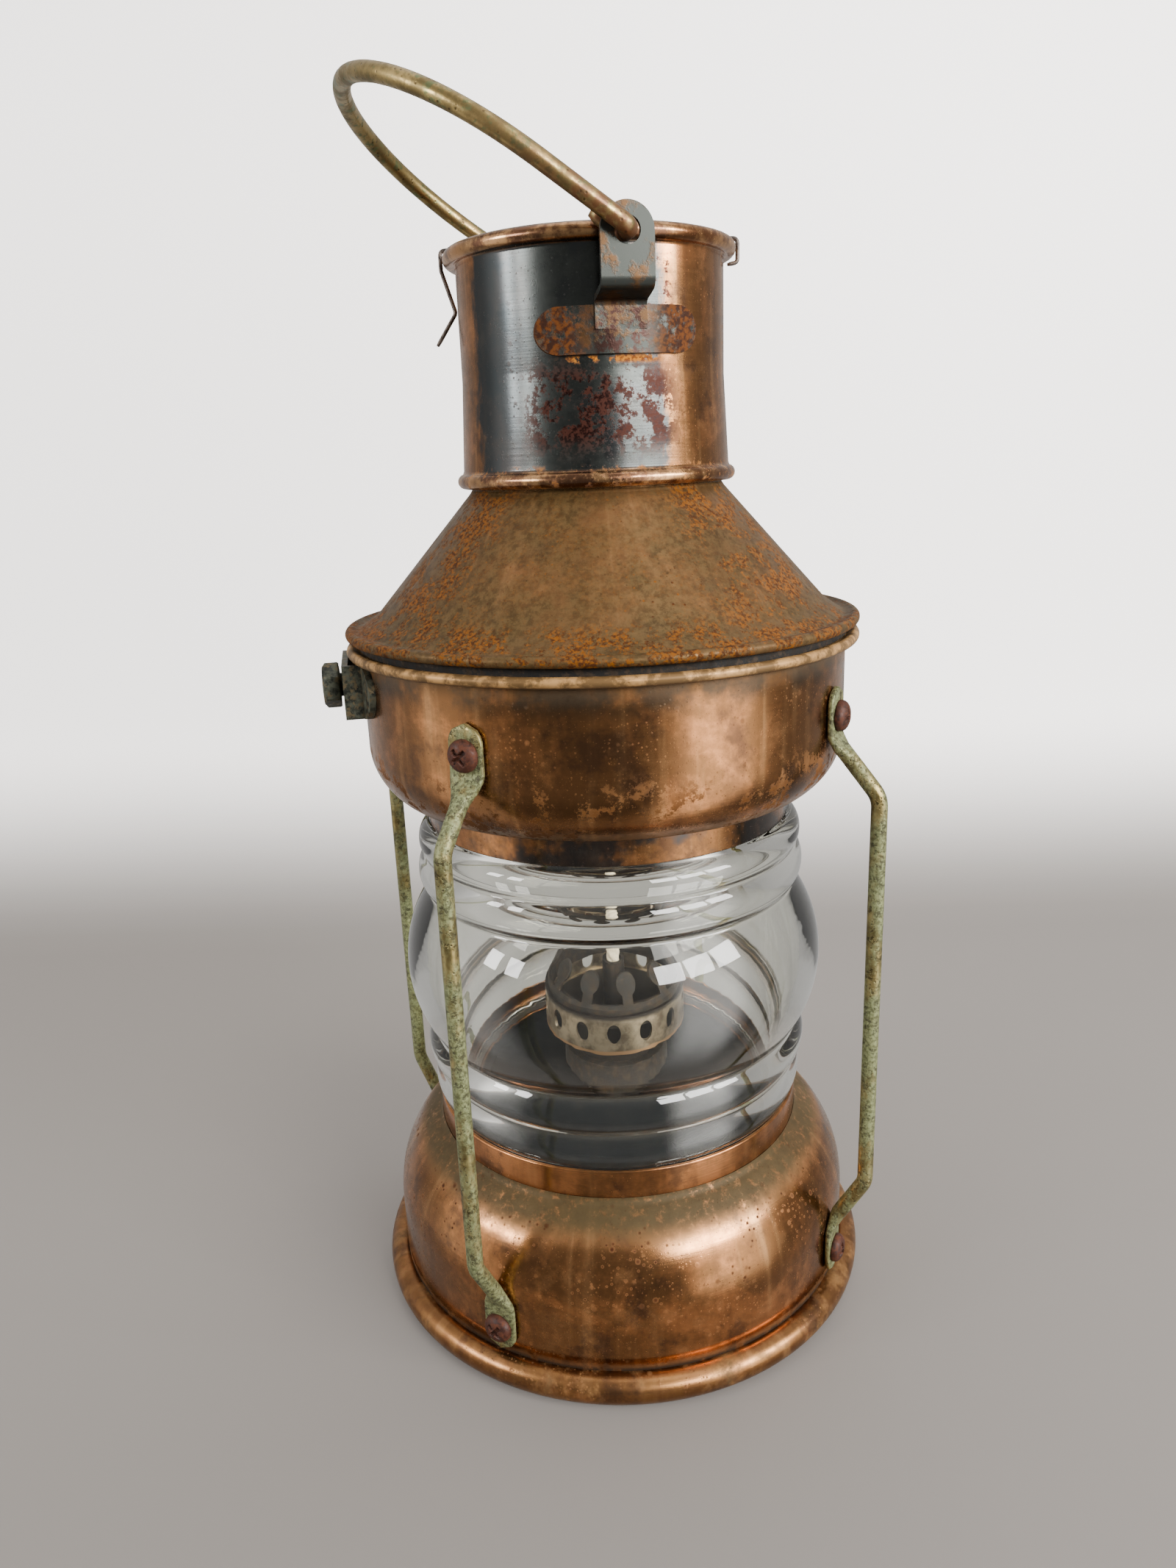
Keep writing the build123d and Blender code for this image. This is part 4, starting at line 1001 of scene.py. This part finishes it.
def guards():
    """Four bent rods, each from a screw low on the base to a screw high on the bowl."""
    for name, angle in GUARD_ANGLES.items():
        out = direction(math.radians(angle))
        across = direction(math.radians(angle + 90))
        corners = [
            (*GUARD_TOP, 0), (GUARD_TOP[0], 161.5, 5), (64.6, 158.6, 3), (GUARD_REACH, 147, 7),
            (GUARD_REACH, 40, 7), (67.4, 27.6, 5), (GUARD_BOTTOM[0], 23.0, 5), (*GUARD_BOTTOM, 0),
        ]
        flat = rounded(corners, 8, closed=False)
        path = denser([out * point.x + Vector((0, 0, point.y)) for point in flat], 1.4)
        bm = sweep(path, rod_section, 24, across)
        publish(settle(bm, name + "_rod"), name + "_rod", ROOT, "verdigris", name)


# ------------------------------------------------------------------ fasteners

def outward(angle, radius, height, spin=0.0):
    """A matrix whose Z faces away from the axis at this angle; spin turns about that Z, in radians."""
    turn = math.radians(angle)
    place = Matrix.Translation(direction(turn) * radius + Vector((0, 0, height)))
    facing = Matrix.Rotation(turn, 4, "Z") @ Matrix.Rotation(math.pi / 2, 4, "Y")
    return place @ facing @ Matrix.Rotation(spin, 4, "Z")


def cross_head(bm, matrix):
    """A round screw head with a cross recess, and its shank."""
    radius, height = SCREW_HEAD_RADIUS, SCREW_HEAD_HEIGHT
    skirt_height, slot_half_width, slot_reach, slot_depth = 0.55, 0.36, 1.95, 1.25
    rings, sides = 26, 72
    loops = []
    for i in range(rings + 1):
        share = i / rings
        ring = []
        for k in range(sides):
            turn = TURN * k / sides
            x, y = radius * share * math.cos(turn), radius * share * math.sin(turn)
            dome = skirt_height + (height - skirt_height) * math.sqrt(max(0.0, 1 - share ** 2.4))
            across, reach = sorted((abs(x), abs(y)))
            inside = 1 - min(max((across - slot_half_width) / 0.22, 0), 1)
            inside *= 1 - min(max((reach - slot_reach) / 0.35, 0), 1)
            depth = slot_depth * inside * (1 - 0.45 * reach / 2.2)
            ring.append(bm.verts.new(matrix @ Vector((x, y, dome - depth)) * MM))
        loops.append(ring)
    for r, z in ((radius, 0.12), (radius - 0.12, 0.0), (1.95, 0.0), (1.95, -9.3), (1.6, -9.5)):
        ring = []
        for k in range(sides):
            turn = TURN * k / sides
            ring.append(bm.verts.new(matrix @ (direction(turn) * r + Vector((0, 0, z))) * MM))
        loops.append(ring)
    bridge(bm, loops)
    bm.faces.new(loops[-1])


def screws():
    """Two to each guard, every recess left at an angle of its own."""
    bm = bmesh.new()
    for index, angle in enumerate(GUARD_ANGLES.values()):
        for row, (radius, height) in enumerate(SCREW_SEATS):
            cross_head(bm, outward(angle, radius, height, 0.5 + 0.9 * index + 1.7 * row))
    publish(settle(bm, "guard_screw_heads"), "guard_screw_heads", ROOT, "screw", "guard_screws")


def bolt():
    """Hexagon head with a turned chamfer, corners up and down, and its shank."""
    matrix = outward(180, BOLT_HEAD_START, SOCKET_HEIGHT)
    height, sides = BOLT_HEAD_HEIGHT, 96
    chamfer = math.tan(math.radians(32))
    flat_radius = 4.75
    bm = bmesh.new()
    loops = []

    def hexagon(turn):
        part = (turn % (TURN / 6)) - TURN / 12
        return BOLT_HEAD_FLATS / 2 / math.cos(part)

    def edge(turn):
        """The chamfer's height where it cuts the hexagon's side."""
        return height - (hexagon(turn) - flat_radius) * chamfer

    def loop(rule):
        ring = []
        for k in range(sides):
            turn = TURN * k / sides
            r, z = rule(turn)
            ring.append(bm.verts.new(matrix @ (direction(turn) * r + Vector((0, 0, z))) * MM))
        loops.append(ring)

    loop(lambda turn: (BOLT_RADIUS - 0.05, -3.45))
    loop(lambda turn: (BOLT_RADIUS, -3.2))
    loop(lambda turn: (BOLT_RADIUS, 0.0))
    loop(lambda turn: (hexagon(turn) * 0.96, 0.0))
    loop(lambda turn: (hexagon(turn), 0.35))
    loop(lambda turn: (hexagon(turn), edge(turn) - 0.15))
    loop(lambda turn: (hexagon(turn) - 0.25, edge(turn)))
    loop(lambda turn: (flat_radius - 0.05, height))
    loop(lambda turn: (4.1, height))
    loop(lambda turn: (3.9, height - 0.3))
    loop(lambda turn: (0.4, height - 0.4))
    bridge(bm, loops)
    cap(bm, loops)
    publish(settle(bm, "socket_bolt_head"), "socket_bolt_head", BOLT, "socket", "socket_bolt")


# ------------------------------------------------------------------ wick

def wick():
    """Three twisted cotton strands, cut off uneven at the top."""
    bm = bmesh.new()
    sides, step, twist = 36, 0.6, 0.55
    count = int((WICK_TOP - WICK_FOOT) / step)
    rings = []
    for i in range(count + 1):
        z = WICK_FOOT + (WICK_TOP - WICK_FOOT) * i / count
        ring = []
        for k in range(sides):
            turn = TURN * k / sides
            radius = 1.55 + 0.42 * abs(math.cos(1.5 * (turn + z * twist)))
            height = z
            if i == count:
                radius *= 0.86
                height -= 0.25 * (1 + noise.noise(direction(turn) * 2))
            ring.append(bm.verts.new((direction(turn) * radius + Vector((0, 0, height))) * MM))
        rings.append(ring)
    bridge(bm, rings)
    cap(bm, rings)
    publish(settle(bm, "cotton_wick"), "cotton_wick", WICK, "cotton", "wick")


# ------------------------------------------------------------------ frame nodes that stay

def dress_frame():
    """Materials and softened edges for the CAD nodes that show as they are."""
    for node, look in NODE_LOOKS.items():
        piece = NODES[node]
        piece.data.materials.clear()
        piece.data.materials.append(LOOKS[look])
        for polygon in piece.data.polygons:
            polygon.use_smooth = True
            polygon.material_index = 0
        piece.data.set_sharp_from_angle(angle=math.radians(32))
        if node in ("socket_strap", "bail_bracket_front", "bail_bracket_back", "wick_knob"):
            edges = piece.modifiers.new("edges", "BEVEL")
            edges.width = 0.25 * MM
            edges.segments = 2
            edges.limit_method = "ANGLE"
            edges.angle_limit = math.radians(40)
            edges.harden_normals = False


# ------------------------------------------------------------------ stage

def photo_camera():
    """The photograph's viewpoint, worked out from the lantern's own proportions."""
    turned, yaw, pitch, roll = (math.radians(v) for v in (VIEW_TURN, -1.03, 16.64, -2.30))
    forward = Vector((math.sin(yaw) * math.cos(pitch), math.cos(yaw) * math.cos(pitch), -math.sin(pitch)))
    right = Vector((math.cos(yaw), -math.sin(yaw), 0))
    up = right.cross(forward)
    right, up = (
        right * math.cos(roll) + up * math.sin(roll),
        up * math.cos(roll) - right * math.sin(roll),
    )
    place = Vector((0, -287.7, 228.2)) * MM
    matrix = Matrix((right, up, -forward)).transposed().to_4x4()
    matrix.translation = place
    data = bpy.data.cameras.new("camera")
    data.sensor_width = 36
    data.lens = 36 * 1500 / 2133
    data.clip_start = 0.01
    data.clip_end = 50
    camera = bpy.data.objects.new("camera", data)
    camera.matrix_world = Matrix.Rotation(turned, 4, "Z") @ matrix
    bpy.context.scene.collection.objects.link(camera)
    bpy.context.scene.camera = camera


def backdrop():
    """A pale floor that runs up into a wall behind, as one sheet, its colour and glow painted light and
    shade.
    """
    curve_start, curve_radius = 210, 340
    profile = [(-2600, 0), (-900, 0), (0, 0), (curve_start, 0)]
    for k in range(1, 25):
        t = math.pi / 2 * k / 24
        profile.append((curve_start + curve_radius * math.sin(t), curve_radius * (1 - math.cos(t))))
    profile += [(curve_start + curve_radius, 900), (curve_start + curve_radius, 2600)]
    bm = bmesh.new()
    rows = []
    for y, z in profile:
        rows.append([bm.verts.new(Vector((x, y, z)) * MM) for x in (-3200, -800, 0, 800, 3200)])
    for here, there in zip(rows[:-1], rows[1:]):
        for k in range(4):
            bm.faces.new((here[k], here[k + 1], there[k + 1], there[k]))
    mesh = bpy.data.meshes.new("backdrop")
    bm.to_mesh(mesh)
    bm.free()
    for polygon in mesh.polygons:
        polygon.use_smooth = True
    s = Surface("backdrop_paper")
    # Painted light and shade: darker where the sheet lies flat, paler up the wall.
    painted_light_rise = s.step(s.z, -12, 62)
    painted_light_sideways = s.step(s.x, -420, 420, 0.76, 1.16)
    color = s.mix(painted_light_rise, (0.066, 0.055, 0.045), (0.74, 0.715, 0.695))
    paper = s.new("ShaderNodeBsdfPrincipled")
    s.join(paper.inputs["Base Color"], color)
    s.join(paper.inputs["Roughness"], 0.9)
    # Painted light: the sheet glows, though it is no lamp, more up the wall and to the right.
    s.join(paper.inputs["Emission Color"], (1.0, 0.965, 0.945))
    s.join(paper.inputs["Emission Strength"], s.product(painted_light_rise, painted_light_sideways, s.step(s.z, 0, 520, 1.25, 2.2)))
    away = s.vector("LENGTH", s.vector("MULTIPLY", s.place, (1, 1, 0)))
    glossy = s.new("ShaderNodeLightPath").outputs["Is Glossy Ray"]
    room = s.new("ShaderNodeMixShader")
    s.join(room.inputs[0], s.product(glossy, s.step(away, 85, 170)))
    s.join(room.inputs[1], paper.outputs[0])
    s.join(room.inputs[2], s.new("ShaderNodeBsdfTransparent").outputs[0])
    s.join(s.output.inputs["Surface"], room.outputs[0])
    mesh.materials.append(s.material)
    piece = bpy.data.objects.new("backdrop", mesh)
    piece.matrix_world = Matrix.Rotation(math.radians(VIEW_TURN), 4, "Z")
    bpy.context.scene.collection.objects.link(piece)


def softbox(name, place, target, size, power, color):
    """A rectangular lamp at place, in metres, facing target."""
    data = bpy.data.lights.new(name, "AREA")
    data.shape = "RECTANGLE"
    data.size, data.size_y = size
    data.energy = power
    data.color = color
    lamp = bpy.data.objects.new(name, data)
    lamp.location = place
    lamp.rotation_euler = (Vector(target) - Vector(place)).to_track_quat("-Z", "Y").to_euler()
    bpy.context.scene.collection.objects.link(lamp)


def lights():
    """A soft ceiling, three window panes on the right, two on the left, and a dim room."""
    turn = Matrix.Rotation(math.radians(VIEW_TURN), 3, "Z")
    middle = (0, 0, 0.14)

    def around(azimuth, distance, height):
        """A place at this azimuth from the viewpoint's side, positive to its right."""
        angle = math.radians(azimuth)
        return turn @ Vector((distance * math.sin(angle), -distance * math.cos(angle), height))

    softbox("ceiling", turn @ Vector((0.1, 0.15, 1.3)), (0, 0, 0.1), (1.2, 1.0), 3.6, (1.0, 0.985, 0.97))
    for pane, azimuth in (("a", 30), ("b", 47), ("c", 64)):
        place = around(azimuth, 0.90, 0.47)
        softbox("right_pane_" + pane, place, middle, (0.235, 0.25), 6.0, (1.0, 0.99, 0.97))
    for pane, azimuth in (("a", -55), ("b", -69)):
        place = around(azimuth, 0.92, 0.45)
        softbox("left_pane_" + pane, place, middle, (0.14, 0.22), 3.0, (1.0, 0.99, 0.98))

    world = bpy.data.worlds.new("studio")
    bpy.context.scene.world = world
    world.use_nodes = True
    sky = Nodes(world.node_tree)
    background = sky.tree.nodes["Background"]
    looking = sky.new("ShaderNodeTexCoord").outputs["Generated"]

    def along(axis):
        return sky.vector("DOT_PRODUCT", looking, turn @ Vector(axis))

    azimuth = sky.product(sky.math("ARCTAN2", along((1, 0, 0)), along((0, -1, 0))), 180 / math.pi)
    upward = along((0, 0, 1))
    room = sky.step(sky.math("ABSOLUTE", azimuth), 60, 170, 0.30, 0.60)
    glow = sky.product(sky.step(azimuth, 26, 42), sky.step(azimuth, 80, 62), 3.6)
    streak = sky.product(sky.step(azimuth, -100, -86), sky.step(azimuth, -54, -68), 0.9)
    haze = sky.product(sky.step(azimuth, -118, -92, 0, 0.35), sky.step(azimuth, -66, -86))
    total = sky.step(upward, 0.1, 0.9, 0.0, 0.25)
    for share in (room, glow, streak, haze):
        total = sky.math("ADD", total, share)
    total = sky.product(total, sky.step(upward, -0.80, -0.35, 0.60, 1.0))
    sky.join(background.inputs["Strength"], total)
    background.inputs["Color"].default_value = (1.0, 0.985, 0.965, 1)


photo_camera()
backdrop()
lights()
dress_frame()
base()
glass()
bowl()
hood()
bail()
clip()
guards()
screws()
bolt()
wick()
